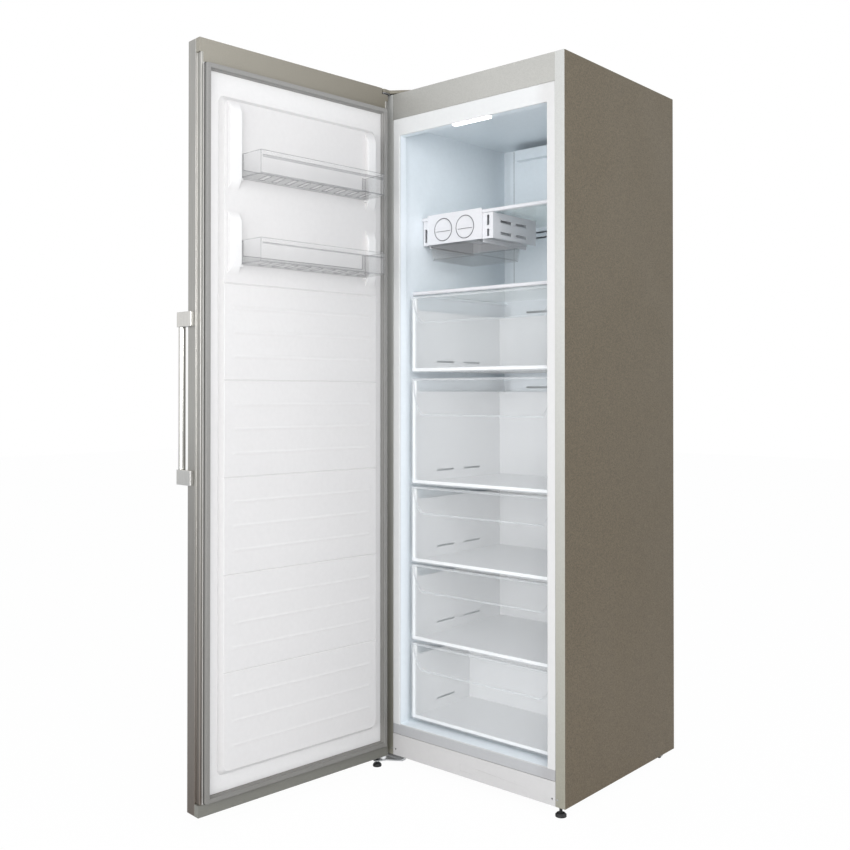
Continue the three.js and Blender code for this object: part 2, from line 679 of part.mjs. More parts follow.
function iceTray(x) {
  const half = iceMaker.trayWidth / 2;
  const rim = knobZ + 4;
  const low = rim - iceMaker.trayDepth;
  const body = loft([
    ringXY(grown([x, x], half - 6), grown(trayY, -3), low),
    ringXY(grown([x, x], half), trayY, rim),
  ]);
  const room = loft([
    ringXY(grown([x, x], half - 8), grown(trayY, -5), low + 2),
    ringXY(grown([x, x], half - 2), grown(trayY, -2), rim + 1),
  ]);
  const divider = block(grown([x, x], half - 5), [0, 2], [low + 1, low + iceMaker.trayDepth / 2]);
  const pitch = (trayY[1] - trayY[0]) / iceMaker.trayRows;
  const dividers = [block([x - 1, x + 1], grown(trayY, -4), [low + 1, low + iceMaker.trayDepth / 2])];
  for (let row = 1; row < iceMaker.trayRows; row += 1) {
    dividers.push(divider.clone().translate(0, trayY[0] + row * pitch - 1, 0));
  }
  const pin = rod('y', [x, knobZ], trayPin, [trayY[1] - 1, iceBack - 1], 12);
  const nose = rod('y', [x, knobZ], 6, [knobBack + seat, trayY[0] + 2], 12);
  return join(cut(join(body, pin, nose), room), ...dividers);
}

function iceKnob(x) {
  const y = iceFront - 1;
  const back = y + iceMaker.knobDepth;
  const disc = rod('y', [x, knobZ], iceMaker.knobRadius, [y, back], 24);
  const dish = rod('y', [x, knobZ], iceMaker.knobRadius - 2, [y - 1, back - 1.2], 24);
  const grip = block(grown([x, x], iceMaker.knobRadius - 1), [y + 0.2, back - 0.5], grown([knobZ, knobZ], 4));
  return join(cut(disc, dish), grip, rod('y', [x, knobZ], 9, [back - 0.5, knobBack], 16));
}

const iceBinTop = iceLow - iceBin.rail + 2 * iceBin.railWall + seat;
const iceBinX = grown(iceX, -iceBin.railWall - iceBin.rim - seat);

function iceBinTub() {
  const low = iceBinTop - iceBin.height;
  const y = [iceFront + 1, iceFront + 1 + iceBin.length];
  const { draft } = iceBin;
  const body = loft([
    ringXY(grown(iceBinX, -draft), grown(y, -draft), low, 8),
    ringXY(iceBinX, y, iceBinTop, 8),
  ]);
  const room = loft([
    ringXY(grown(iceBinX, -draft - plastic), grown(y, -draft - plastic), low + plastic, 6),
    ringXY(grown(iceBinX, -plastic), grown(y, -plastic), iceBinTop + 1, 6),
  ]);
  const rimZ = [iceBinTop - iceBin.railWall, iceBinTop];
  const rim = block(grown(iceBinX, iceBin.rim - seat), [y[0] + 12, y[1]], rimZ);
  return cut(join(body, rim), room);
}

// ---------------------------------------------------------------- drawers
// a drawer front's outline, or what fits inside its rim
function frontOutline(d, by) {
  return roundedOutline(grown(drawerX, -by), [d.bottom + by, d.top - by], drawer.corner - by);
}

// the set-back grip of a drawer front, curved at both lower corners, or the same made larger
function gripOutline(d, by) {
  const low = d.top - d.height * drawer.grip - by;
  const high = d.top - 2 * drawer.wall + by;
  const [left, right] = grown(drawerX, -drawer.gripInset + by);
  const r = drawer.gripCurve;
  const shape = new THREE.Shape();
  shape.moveTo(left, high);
  shape.quadraticCurveTo(left + r * 0.1, low + r * 0.7, left + r, low);
  shape.lineTo(right - r, low);
  shape.quadraticCurveTo(right - r * 0.1, low + r * 0.7, right, high);
  shape.closePath();
  return shape;
}

// a side wall of a tub, with its front end raised to the height of the drawer front
function tubWall(d, x, back) {
  const low = d.bottom + drawer.wall + seat;
  const high = d.top - drawer.wall - seat;
  const shoulder = d.top - drawer.wingHeight;
  const wing = drawer.wingDepth;
  const wall = new THREE.Shape();
  wall.moveTo(tubFront, low);
  wall.lineTo(back, low);
  wall.lineTo(back, shoulder);
  wall.lineTo(tubFront + wing, shoulder);
  wall.quadraticCurveTo(tubFront + wing * 0.6, shoulder + 6, tubFront + wing * 0.4, high);
  wall.lineTo(tubFront, high);
  wall.closePath();
  return prismX(wall, x, 4);
}

function drawerTub(d) {
  const back = drawerBack(d);
  const wallX = [tubX[0] + 3, tubX[0] + 3 + drawer.wall];
  const low = d.bottom + drawer.wall + seat;
  const floor = block([wallX[0], cabinet.width - wallX[0]], [tubFront, back], [low, low + drawer.wall]);
  const wall = tubWall(d, wallX, back);
  const shoulder = d.top - drawer.wingHeight;
  const notch = cabinet.width / 2 + drawer.notch.start;
  const rear = prismY(outline([
    [wallX[0], low], [cabinet.width - wallX[0], low], [cabinet.width - wallX[0], shoulder],
    [notch + drawer.notch.width, shoulder], [notch + drawer.notch.width - 20, shoulder - drawer.notch.depth],
    [notch + 20, shoulder - drawer.notch.depth], [notch, shoulder], [wallX[0], shoulder],
  ]), [back - drawer.wall, back]);
  const sill = block(tubX, [tubFront, tubFront + 6], [low, low + 9]);
  const post = block([tubX[0], tubX[0] + 11], [tubFront, tubFront + 10], [low, d.top - drawer.wall - seat]);
  const runnerZ = d.bottom + drawer.runner.lift;
  const runner = block(
    [cavity.left + drawer.runner.fromWall, wallX[0] + 1],
    [tubFront + drawer.rim + 4, back],
    [runnerZ, runnerZ + drawer.runner.height],
  );
  const slots = [];
  for (let i = 0; i < d.slots; i += 1) {
    const start = tubFront + drawer.slot.start + i * drawer.slot.pitch;
    const z = d.bottom + drawer.slot.lift;
    slots.push(block([0, cabinet.width], [start, start + drawer.slot.length], [z, z + drawer.slot.height]));
  }
  const whole = join(floor, wall, mirrored(wall), rear, sill, post, mirrored(post), runner, mirrored(runner));
  const inRim = prismY(frontOutline(d, drawer.wall + seat), [tubFront - 1, tubFront + drawer.rim + 2], 2);
  const behindRim = block([0, cabinet.width], [tubFront + drawer.rim + 1, back + 1], [d.bottom, d.top]);
  const gripBack = prismY(
    gripOutline(d, drawer.wall + seat), [0, drawer.home + drawer.gripDepth + drawer.wall + seat], 4);
  return cut(common(whole, join(inRim, behindRim)), gripBack, ...slots);
}

function drawerFront(d) {
  const face = drawer.home;
  const whole = prismY(frontOutline(d, 0), [face, face + drawer.rim], 2);
  const hollow = prismY(frontOutline(d, drawer.wall), [face + drawer.frontWall, face + drawer.rim + 1], 2);
  const gripBack = prismY(gripOutline(d, drawer.wall), [face, face + drawer.gripDepth + drawer.wall], 4);
  const grip = prismY(gripOutline(d, 0), [face - 1, face + drawer.gripDepth], 4);
  return cut(join(cut(whole, hollow), common(gripBack, whole)), grip);
}

// ---------------------------------------------------------------- door
// room in the door's corner for the upper hinge's arm
function armNotch() {
  return block([-5, hinge.x + hinge.arm + 2], [hinge.y - 19, 5], [top - hinge.plate, doorTop + 1]);
}

// half of the panel's section, from the middle of its front to the end of the return flange
function panelSection() {
  const x = door0.right;
  const { step, returnFlange: r } = door;
  return outline([
    [cabinet.width / 2, doorFront], [x, doorFront], [x, doorStep], [x - step, doorStep],
    [x - step, door0.back], [x - r, door0.back], [x - r, door0.back - sheet],
    [x - step - sheet, door0.back - sheet], [x - step - sheet, doorStep - sheet], [x - sheet, doorStep - sheet],
    [x - sheet, doorFront + sheet], [cabinet.width / 2, doorFront + sheet],
  ]);
}

function doorOuterPanel() {
  const half = prismZ(panelSection(), [door.bottom, doorTop]);
  const between = grown([door0.left, door0.right], -sheet);
  const ends = [[doorTop - door.capHeight, doorTop + 1], [0, linerFrame.bottom]];
  const rooms = ends.flatMap((z) => [
    block(between, [doorFront + sheet, 0], z),
    block([-10, cabinet.width + 10], [doorStep - sheet, 0], z),
  ]);
  return cut(join(half, mirrored(half)), ...rooms, armNotch());
}

const capY = [doorFront + sheet + seat, door0.back];
const capBand = 6;

// a cap between the panel's steel sides, and as wide as the door behind them
function capHead(z) {
  return join(
    block(grown([door0.left, door0.right], -sheet - seat), capY, z),
    block([door0.left, door0.right], [doorStep - sheet + seat, door0.back], z),
  );
}

function doorTopCap() {
  const z = [doorTop - door.capHeight + seat, doorTop];
  const band = block(
    grown([linerFrame.left, linerFrame.right], -seat),
    [door0.back - capBand, door0.back],
    [linerFrame.top, z[1] - 1],
  );
  const bore = rod('z', [hinge.x, hinge.y], hinge.pin + hinge.play, [z[0] + 2, doorTop], 16);
  const hollow = block([60, cabinet.width - 60], grown(capY, -3), [z[0] - 1, z[1] - 3]);
  return cut(join(cut(capHead(z), hollow), band), armNotch(), bore);
}

function doorBottomCap() {
  const z = [door.bottom, linerFrame.bottom - seat];
  const bore = rod('z', [hinge.x, hinge.y], hinge.pin + hinge.play, [0, z[1] - 4], 16);
  const hollow = block([60, cabinet.width - 60], grown(capY, -3), [z[0] + 3, z[1] + 1]);
  return cut(capHead(z), bore, hollow);
}

const linerWall = 2;
const linerFace = door0.back + plug.height;
const plugFoot = { x: [opening.left, opening.right], z: [opening.bottom - 3, opening.top + 3] };
const plugTop = {
  x: grown(plugFoot.x, -plug.draft),
  z: [opening.bottom + plug.clear + 3, opening.top - plug.clear - 3],
};

// the raised middle of the door liner, or the foam inside it
function plugForm(by) {
  return loft([
    ringXZ(grown(plugFoot.x, -by), grown(plugFoot.z, -by), door0.back - 8, plug.corner),
    ringXZ(grown(plugFoot.x, -by), grown(plugFoot.z, -by), door0.back, plug.corner),
    ringXZ(grown(plugTop.x, -by), grown(plugTop.z, -by), door0.back + plug.height - by, plug.corner),
  ]);
}

const towerX = [plugTop.x[0] + tower.fromSide, plugTop.x[0] + tower.fromSide + tower.width];
const towerSpans = [
  [binHeights.upper - 28, plugTop.z[1] - 2],
  [binHeights.lower - 24, binHeights.upper - 80],
];

// the four posts that carry the bins, or the foam inside them
function towers(by) {
  const made = [];
  for (const z of towerSpans) {
    const footX = [towerX[0] - tower.foot + by, towerX[1] - by];
    const one = loft([
      ringXZ(footX, grown(z, -by), door0.back),
      ringXZ(footX, grown(z, -by), door0.back + plug.height - by),
      ringXZ(grown(towerX, -by), grown(z, -tower.slope - by), door0.back + tower.height - by),
    ]);
    made.push(one, mirrored(one));
  }
  return made;
}

const sectionTop = towerSpans[1][0] - 23;
const ribX = grown(plugTop.x, -rib.inset);

function doorRibs() {
  const surface = linerFace;
  const ribs = [];
  const bottom = plugTop.z[0];
  const sections = Math.round((sectionTop - bottom) / sectionHeight);
  const pitch = (sectionTop - bottom) / sections / (rib.perSection + 1);
  for (let section = 0; section < sections; section += 1) {
    for (let row = 1; row <= rib.perSection; row += 1) {
      const z = sectionTop - (section * (rib.perSection + 1) + row) * pitch;
      ribs.push(loft([
        ringXZ(ribX, grown([z, z], rib.width / 2), surface - 1),
        ringXZ(ribX, grown([z, z], rib.width / 2), surface),
        ringXZ(grown(ribX, -8), grown([z, z], rib.width / 8), surface + rib.height),
      ]));
    }
  }
  return ribs;
}

function sectionGrooves() {
  const surface = linerFace;
  const bottom = plugTop.z[0];
  const sections = Math.round((sectionTop - bottom) / sectionHeight);
  const pitch = (sectionTop - bottom) / sections;
  const grooves = [];
  for (let section = 0; section < sections; section += 1) {
    const z = sectionTop - section * pitch;
    grooves.push(prismX(outline([
      [surface + 1, z - groove - 1], [surface + 1, z + groove + 1], [surface - groove, z],
    ]), grown(plugFoot.x, 5)));
  }
  return grooves;
}

const binX = [towerX[1] + 2 * seat, cabinet.width - towerX[1] - 2 * seat];

function binPegs() {
  return Object.values(binHeights).flatMap((z) => {
    const one = block(
      [towerX[1] - 1, towerX[1] + peg.reach],
      [linerFace - 1, door0.back + tower.height - peg.setBack],
      [z - peg.height, z - seat],
    );
    return [one, mirrored(one)];
  });
}

// the raised middle of the liner's face, or the foam that fills it from behind
function linerForm(by) {
  const grooves = sectionGrooves().map((g) => g.translate(0, -by, 0));
  return cut(join(plugForm(by), ...towers(by)), ...grooves);
}

function doorLiner() {
  const flangeX = grown([linerFrame.left, linerFrame.right], -seat);
  const flangeY = [door0.back - linerWall, door0.back];
  const flangePlate = block(flangeX, flangeY, grown([linerFrame.bottom, linerFrame.top], -seat));
  const behind = block([0, cabinet.width], [door0.back - 20, flangeY[0]], [0, doorTop]);
  return join(cut(join(flangePlate, linerForm(0)), behind, linerForm(plastic)), ...doorRibs(), ...binPegs());
}

function doorInsulation() {
  const x = grown([door0.left, door0.right], -sheet - seat);
  const y = [doorFront + sheet + seat, door0.back - linerWall - seat];
  const z = [linerFrame.bottom + seat, doorTop - door.capHeight - seat];
  const slab = join(
    block(x, [y[0], doorStep - sheet - seat], z),
    block(grown(x, -door.step), y, z),
  );
  const bandRoom = block([0, cabinet.width], [door0.back - capBand - seat, 0], [linerFrame.top, doorTop]);
  const inLiner = block([0, cabinet.width], [y[1] - 1, door0.back + tower.height], [0, doorTop]);
  return join(cut(slab, bandRoom), common(linerForm(plastic + seat), inLiner));
}

function doorGasket() {
  const x = grown([linerFrame.left, linerFrame.right], -seat);
  const z = [linerFrame.bottom + seat, linerFrame.top];
  const y = [door0.back + seat, -gasket.squash];
  const frame = (by, corner, depth) => prismY(roundedOutline(grown(x, -by), grown(z, -by), corner), depth, 2);
  const { width, lip: narrower, foot: footDepth } = gasket;
  const step = y[0] + footDepth;
  const mount = cut(frame(0, 6, [y[0], step]), frame(width, 10, [y[0] - 1, step + 1]));
  const pad = cut(frame(1, 6, [step - 1, y[1]]), frame(width - narrower, 8, [y[0], y[1] + 1]));
  return join(mount, pad);
}

function doorBin(low) {
  const back = linerFace + 2 * seat;
  const front = bin.reach;
  const high = low + bin.height;
  const outer = (by, z0, z1) => loft([
    [
      [binX[0] + by, back + by, z0], [binX[1] - by, back + by, z0],
      [binX[1] - bin.taper - by, front - by, z0], [binX[0] + bin.taper + by, front - by, z0],
    ],
    [
      [binX[0] + by, back + by, z1], [binX[1] - by, back + by, z1],
      [binX[1] - bin.taper - by, front - by, z1], [binX[0] + bin.taper + by, front - by, z1],
    ],
  ]);
  const backCut = block(grown(binX, -12), [back - 1, back + bin.wall + 0.1], [low + 22, high + 1]);
  const slots = [];
  const pitch = (binX[1] - binX[0] - 50) / bin.slots;
  for (let i = 0; i < bin.slots; i += 1) {
    const x = binX[0] + 30 + i * pitch;
    slots.push(prismZ(outline([
      [x, back + 14], [x + 12, back + 14], [x + 24, front - 14], [x + 12, front - 14],
    ]), [low - 1, low + bin.wall + 1]));
  }
  const line = block(grown(binX, -bin.taper - 6), [front - 1, front + 1], [high - 14, high - 12]);
  return cut(outer(0, low, high), outer(bin.wall, low + bin.wall, high + 1), backCut, ...slots, line);
}

// ---------------------------------------------------------------- handle
const handleX = door0.right + handle.beyond;
const barX = door0.right + 1;
const barY = doorFront - handle.reach + handle.bar + 2;
const handleZ = [handle.from, handle.from + handle.height];

function handleBracket(z) {
  const inner = door0.right + seat;
  const profile = outline([
    [inner, doorFront + handle.wrap], [handleX, doorFront + handle.wrap],
    [handleX, doorFront - handle.reach], [barX - handle.bar - 1.5, doorFront - handle.reach],
    [barX - handle.bar - 1.5, doorFront - seat], [inner, doorFront - seat],
  ]);
  return prismZ(profile, z);
}

function handleBar() {
  const z = [handleZ[0] + handle.bracket + seat, handleZ[1] - handle.bracket - seat];
  return rod('z', [barX, barY], handle.bar, z, 20);
}

// ---------------------------------------------------------------- hinges
function armOutline(halfWidth, reachBack) {
  const shape = new THREE.Shape();
  shape.moveTo(hinge.x + halfWidth, reachBack);
  shape.lineTo(hinge.x + halfWidth, hinge.y);
  shape.absarc(hinge.x, hinge.y, halfWidth, 0, Math.PI, true);
  shape.lineTo(hinge.x - halfWidth, reachBack);
  shape.closePath();
  return shape;
}

// the cover's part over the arm, round at the pin and wider over the cabinet
function armHood(z) {
  const { from, to } = hinge.hood;
  const half = hinge.arm - 1;
  const shape = new THREE.Shape();
  shape.moveTo(hinge.x + half, from);
  shape.lineTo(hinge.x + half, hinge.y);
  shape.absarc(hinge.x, hinge.y, half, 0, Math.PI, true);
  shape.lineTo(hinge.x - half, to[1]);
  shape.lineTo(to[0], to[1]);
  shape.closePath();
  return prismZ(shape, z, 5);
}

function upperHingeBracket() {
  const z = [top + seat, top + seat + hinge.plate];
  const { x, y, corner } = hinge.flange;
  return join(
    prismZ(roundedOutline(x, y, corner), z, 3),
    prismZ(armOutline(hinge.arm - 1, y[0] + 14), z, 5),
    rod('z', [hinge.x, hinge.y], hinge.pin, [doorTop - door.capHeight + 6, z[0] + 1], 16),
  );
}

function upperHingeCover() {
  const roomTop = top + 2 * seat + hinge.plate;
  const { cover, flange: under } = hinge;
  const body = prismZ(roundedOutline(cover.x, cover.y, cover.corner), [top + seat, top + cover.height], 3);
  const flangeRoom = prismZ(
    roundedOutline(grown(under.x, seat), grown(under.y, seat), under.corner), [0, roomTop], 3);
  const armRoom = prismZ(armOutline(hinge.arm - 1 + seat, under.y[0] + 15), [0, roomTop], 5);
  return cut(join(body, armHood([roomTop, doorTop])), flangeRoom, armRoom);
}

function lowerHingeBracket() {
  const z = lowerHinge.height;
  const t = lowerHinge.plate;
  const under = base - seat;
  const side = outline([
    [-60, z], [0, z], [8, under - t], [60, under - t], [60, under], [6, under], [-3, z + t], [-60, z + t],
  ]);
  const plan = new THREE.Shape();
  plan.moveTo(70, 60);
  plan.lineTo(70, 4);
  plan.lineTo(26, -24);
  plan.lineTo(foot.x + 11, foot.y);
  plan.absarc(foot.x, foot.y, 11, 0, -Math.PI, true);
  plan.lineTo(foot.x - 11, -20);
  plan.lineTo(4, 0);
  plan.lineTo(4, 60);
  plan.closePath();
  const plate = common(prismX(side, [-20, 90]), prismZ(plan, [0, 60], 4));
  const studHole = rod('z', [foot.x, foot.y], foot.stud + foot.play, [0, 40], 12);
  const pin = rod('z', [hinge.x, hinge.y], hinge.pin, [z + 1, door.bottom + 18], 16);
  return join(cut(plate, studHole), pin);
}

function lowerHingeBush() {
  const z = [lowerHinge.height + lowerHinge.plate + seat, door.bottom - seat];
  return cut(
    rod('z', [hinge.x, hinge.y], lowerHinge.bushRadius, z, 16),
    rod('z', [hinge.x, hinge.y], hinge.pin + hinge.play, grown(z, 1), 16),
  );
}

// ---------------------------------------------------------------- feet and rollers
function levellingFoot(x, y, { pad, padHeight, studTop }) {
  const profile = [
    [0, 0], [pad, 0], [pad, padHeight * 0.55], [pad * 0.72, padHeight],
    [foot.stud, padHeight], [foot.stud, studTop], [0, studTop],
  ].map(([r, z]) => new THREE.Vector2(r, z));
  return new THREE.LatheGeometry(profile, 16).rotateX(Math.PI / 2).translate(x, y, 0);
}

function rearRoller(x) {
  const y = cabinet.depth - roller.fromBack;
  const half = roller.width / 2;
  const profile = [
    [roller.axle + roller.play, -half], [roller.radius - 1.5, -half], [roller.radius, -half + 1.5],
    [roller.radius, half - 1.5], [roller.radius - 1.5, half], [roller.axle + roller.play, half],
    [roller.axle + roller.play, -half],
  ].map(([r, a]) => new THREE.Vector2(r, a));
  return new THREE.LatheGeometry(profile, 16).rotateZ(-Math.PI / 2).translate(x, y, roller.radius);
}

// ---------------------------------------------------------------- machine compartment
const compressorPlace = [cabinet.width - compressor.fromRight, bayFront + bay.depth / 2];
const condenserEnd = compressorPlace[0] - compressor.radius - condenser.toCompressor;

function compressorBody() {
  const r = compressor.radius;
  const low = bayFloor + compressor.grommetHeight + 4;
  const profile = [
    [0, low], [r * 0.8, low], [r, low + 18], [r, low + compressor.height * 0.45],
    [r + 3, low + compressor.height * 0.45], [r + 3, low + compressor.height * 0.5],
    [r - 1, low + compressor.height * 0.5], [r - 1, low + compressor.height - 30],
    [r * 0.75, low + compressor.height - 8], [r * 0.3, low + compressor.height], [0, low + compressor.height],
  ].map(([a, z]) => new THREE.Vector2(a, z));
  const body = new THREE.LatheGeometry(profile, 20).rotateX(Math.PI / 2).translate(...compressorPlace, 0);
  const [x, y] = compressorPlace;
  const rails = block(grown([x, x], r + 16), grown([y, y], r - 4), [low - 4, low]);
  const corners = [[-1, -1], [1, -1], [1, 1], [-1, 1]];
  const grommets = corners.map(([a, b]) => rod(
    'z', [x + a * (r + 4), y + b * (r - 16)], compressor.grommet, [bayFloor + seat, low - 3], 12));
  return join(body, rails, ...grommets);
}

function compressorRelay() {
  const [x, y] = compressorPlace;
  const r = compressor.radius;
  const low = bayFloor + compressor.grommetHeight + 30;
  const box = block([x - r - 18, x - r + 12], grown([y, y], 24), [low, low + 50]);
  return cut(box, rod('z', compressorPlace, r + 3 + seat, [low - 1, low + 60], 40));
}

function evaporationPan() {
  const [x, y] = compressorPlace;
  const low = bayFloor + compressor.grommetHeight + 4 + compressor.height + seat;
  const outer = loft([
    ringXY(grown([x, x], 62), grown([y, y], 54), low, 10),
    ringXY(grown([x, x], 78), grown([y, y], 66), low + 28, 12),
  ]);
  const room = loft([
    ringXY(grown([x, x], 60), grown([y, y], 52), low + 2, 9),
    ringXY(grown([x, x], 76), grown([y, y], 64), low + 29, 11),
  ]);
  return cut(outer, room);
}

// two layers of tubes, joined at alternate ends and carried by upright plates
function condenserCoil() {
  const x = [condenser.x, condenserEnd];
  const low = bayFloor + seat;
  const layers = [low + 14, low + 14 + condenser.height];
  const y0 = bayFront + 30;
  const parts = [];
  for (let i = 0; i < condenser.passes; i += 1) {
    const y = y0 + i * condenser.pitch;
    const endX = i % 2 ? x[0] + condenser.tube : x[1] - condenser.tube;
    for (const z of layers) parts.push(rod('x', [y, z], condenser.tube, x, 6));
    parts.push(rod('z', [endX, y], condenser.tube, layers, 6));
  }
  for (let i = 0; i < condenser.plates; i += 1) {
    const at = x[0] + 15 + (i * (x[1] - x[0] - 30)) / (condenser.plates - 1);
    const y = [y0 - 10, y0 + (condenser.passes - 1) * condenser.pitch + 10];
    parts.push(block([at, at + 1.2], y, [low, layers[1] + 10]));
  }
  return join(...parts);
}

const drierTop = bayFloor + drier.top;
const drierPlace = [condenserEnd + 22, bayFront + 14];

function filterDrier() {
  const [x, y] = drierPlace;
  const { radius, neckRadius, neck, shoulder, body, clip } = drier;
  const end = [[0, 0], [neckRadius, 0], [neckRadius, neck], [radius, neck + shoulder]];
  const length = 2 * (neck + shoulder) + body;
  const other = end.map(([r, z]) => [r, length - z]).reverse();
  const profile = [...end, ...other].map(([r, z]) => new THREE.Vector2(r, drierTop - length + z));
  const bottle = new THREE.LatheGeometry(profile, 14).rotateX(Math.PI / 2).translate(x, y, 0);
  const middle = drierTop - length / 2;
  const holder = block(grown([x, x], clip / 2), [bayFront + seat, y], grown([middle, middle], clip / 2));
  return join(bottle, holder);
}

function refrigerantPipes() {
  const [x, y] = compressorPlace;
  const r = compressor.radius;
  const startZ = bayFloor + 70;
  const [drierX, drierY] = drierPlace;
  const nearCompressor = (from) => [x - (r + from) * 0.6, y + (r + from) * 0.8, startZ];
  return smoothTube([
    nearCompressor(0.5),
    nearCompressor(9),
    [x - r - 10, y + r * 0.86, startZ + 20],
    [drierX + 8, y + 20, startZ + 70],
    [drierX, drierY + 24, drierTop + 36],
    [drierX, drierY + 1, drierTop + 24],
    [drierX, drierY, drierTop + 2 * seat],
  ], 3, 6, 4);
}

// ---------------------------------------------------------------- assembly
const freezer = new THREE.Group();
freezer.position.set(-foot.x, -foot.y, 0);

freezer.add(
  piece('left_side_panel', sidePanel(), 'sideSteel'),
  piece('right_side_panel', mirrored(sidePanel()), 'sideSteel'),
  piece('front_top_rail', frontTopRail(), 'faceSteel'),
  piece('top_panel', topPanel(), 'sideSteel'),
  piece('back_panel', backPanel(), 'zincSteel'),
  piece('base_plate', basePlate(), 'zincSteel'),
  piece('cabinet_insulation', insulation(), 'foam'),
  piece('inner_liner', innerLiner(), 'whiteLiner'),
  piece('front_plinth', frontPlinth(), 'whitePlastic'),
  piece('ceiling_lamp_cover', lampCover(), 'lamp'),
  piece('evaporator_cover', evaporatorCover(), 'whitePlastic'),
  piece('evaporator_coil', evaporatorCoil(), 'aluminium'),
  piece('defrost_heater', defrostHeater(), 'zincSteel'),
  piece('fan_motor', fanMotor(), 'blackPlastic'),
  piece('fan_wheel', fanWheel(), 'whitePlastic'),
  ...shelves.map((s) => piece(`${s.name}_glass`, shelfPlate(s), 'clearPlastic')),
  ...shelves.map((s) => piece(`${s.name}_trim`, shelfTrim(s), 'whitePlastic')),
  piece('ice_maker_frame', iceMakerFrame(), 'whitePlastic'),
  piece('ice_bin', iceBinTub(), 'clearPlastic'),
);

['left', 'right'].forEach((side, i) => {
  freezer.add(
    piece(`ice_tray_${side}`, iceTray(knobX[i]), 'whitePlastic'),
    piece(`ice_knob_${side}`, iceKnob(knobX[i]), 'whitePlastic'),
    piece(`rear_${side}_roller`, rearRoller(rollerX[i]), 'blackPlastic'),
  );
});

for (const d of drawers) {
  freezer.add(
    piece(`${d.name}_tub`, drawerTub(d), 'whitePlastic'),
    piece(`${d.name}_front`, drawerFront(d), 'clearPlastic'),
  );
}

freezer.add(
  piece('upper_hinge_bracket', upperHingeBracket(), 'hingeSteel'),
  piece('upper_hinge_cover', upperHingeCover(), 'greyPlastic'),
  piece('lower_hinge_bracket', lowerHingeBracket(), 'hingeSteel'),
  piece('front_left_foot', levellingFoot(foot.x, foot.y, foot), 'rubber'),
  piece('front_right_foot', levellingFoot(rightFootX, rightFoot.y, rightFoot), 'rubber'),
  piece('compressor', compressorBody(), 'blackPaint'),
  piece('compressor_relay', compressorRelay(), 'blackPlastic'),
  piece('evaporation_pan', evaporationPan(), 'blackPlastic'),
  piece('condenser_coil', condenserCoil(), 'zincSteel'),
  piece('filter_drier', filterDrier(), 'copper'),
  piece('refrigerant_pipe', refrigerantPipes(), 'copper'),
);

// the door is modelled shut, then swung open about the hinge pins
const doorSwing = new THREE.Group();
doorSwing.position.set(hinge.x, hinge.y, 0);
doorSwing.rotation.z = -THREE.MathUtils.degToRad(door.openAngle);
const doorShut = new THREE.Group();
doorShut.position.set(-hinge.x, -hinge.y, 0);
doorShut.add(
  piece('door_outer_panel', doorOuterPanel(), 'doorSteel'),
  piece('door_insulation', doorInsulation(), 'foam'),
  piece('door_liner', doorLiner(), 'whiteLiner'),
  piece('door_gasket', doorGasket(), 'seal'),
  piece('door_top_cap', doorTopCap(), 'greyPlastic'),
  piece('door_bottom_cap', doorBottomCap(), 'greyPlastic'),
  piece('door_bin_upper', doorBin(binHeights.upper), 'clearPlastic'),
  piece('door_bin_lower', doorBin(binHeights.lower), 'clearPlastic'),
  piece('handle_bracket_upper', handleBracket([handleZ[1] - handle.bracket, handleZ[1]]), 'handleSteel'),
  piece('handle_bracket_lower', handleBracket([handleZ[0], handleZ[0] + handle.bracket]), 'handleSteel'),
  piece('handle_bar', handleBar(), 'handleSteel'),
  piece('lower_hinge_bush', lowerHingeBush(), 'whitePlastic'),
);
doorSwing.add(doorShut);
freezer.add(doorSwing);

export default freezer;
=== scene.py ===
"""Dresses an upright freezer: materials, softened edges, small trim, studio and camera."""

import json
import math

import bmesh
import bpy
from bpy.props import FloatProperty, FloatVectorProperty, PointerProperty
from mathutils import Matrix, Vector


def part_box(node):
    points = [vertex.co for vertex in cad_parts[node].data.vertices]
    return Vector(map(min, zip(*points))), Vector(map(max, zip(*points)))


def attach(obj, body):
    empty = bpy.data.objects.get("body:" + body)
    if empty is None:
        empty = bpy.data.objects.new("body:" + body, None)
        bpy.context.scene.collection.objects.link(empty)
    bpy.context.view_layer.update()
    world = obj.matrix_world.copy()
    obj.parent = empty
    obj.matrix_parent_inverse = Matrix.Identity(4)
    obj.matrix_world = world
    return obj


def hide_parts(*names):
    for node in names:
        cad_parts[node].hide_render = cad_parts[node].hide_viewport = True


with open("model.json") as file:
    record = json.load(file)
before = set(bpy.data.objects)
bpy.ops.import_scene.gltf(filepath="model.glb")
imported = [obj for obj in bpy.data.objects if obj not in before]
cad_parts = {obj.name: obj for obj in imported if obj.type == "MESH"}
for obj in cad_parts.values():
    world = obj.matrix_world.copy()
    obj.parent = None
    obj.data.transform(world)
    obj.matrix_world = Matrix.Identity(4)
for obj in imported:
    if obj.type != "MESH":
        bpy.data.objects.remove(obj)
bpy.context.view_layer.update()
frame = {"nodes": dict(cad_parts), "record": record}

bl_info = {
    "name": "Upright freezer looks",
    "version": (1, 0, 0),
    "blender": (4, 5, 0),
    "location": "3D View > Sidebar > Freezer",
    "description": "Builds the finishes, trim and studio of an upright freezer",
    "category": "Object",
}


def colour(name, description, default):
    return FloatVectorProperty(
        name=name, description=description, default=default, size=3, min=0, max=1, subtype="COLOR"
    )


def length(name, description, default):
    return FloatProperty(
        name=name,
        description=description,
        default=default,
        min=0,
        unit="LENGTH",
        subtype="DISTANCE",
        precision=5,
    )


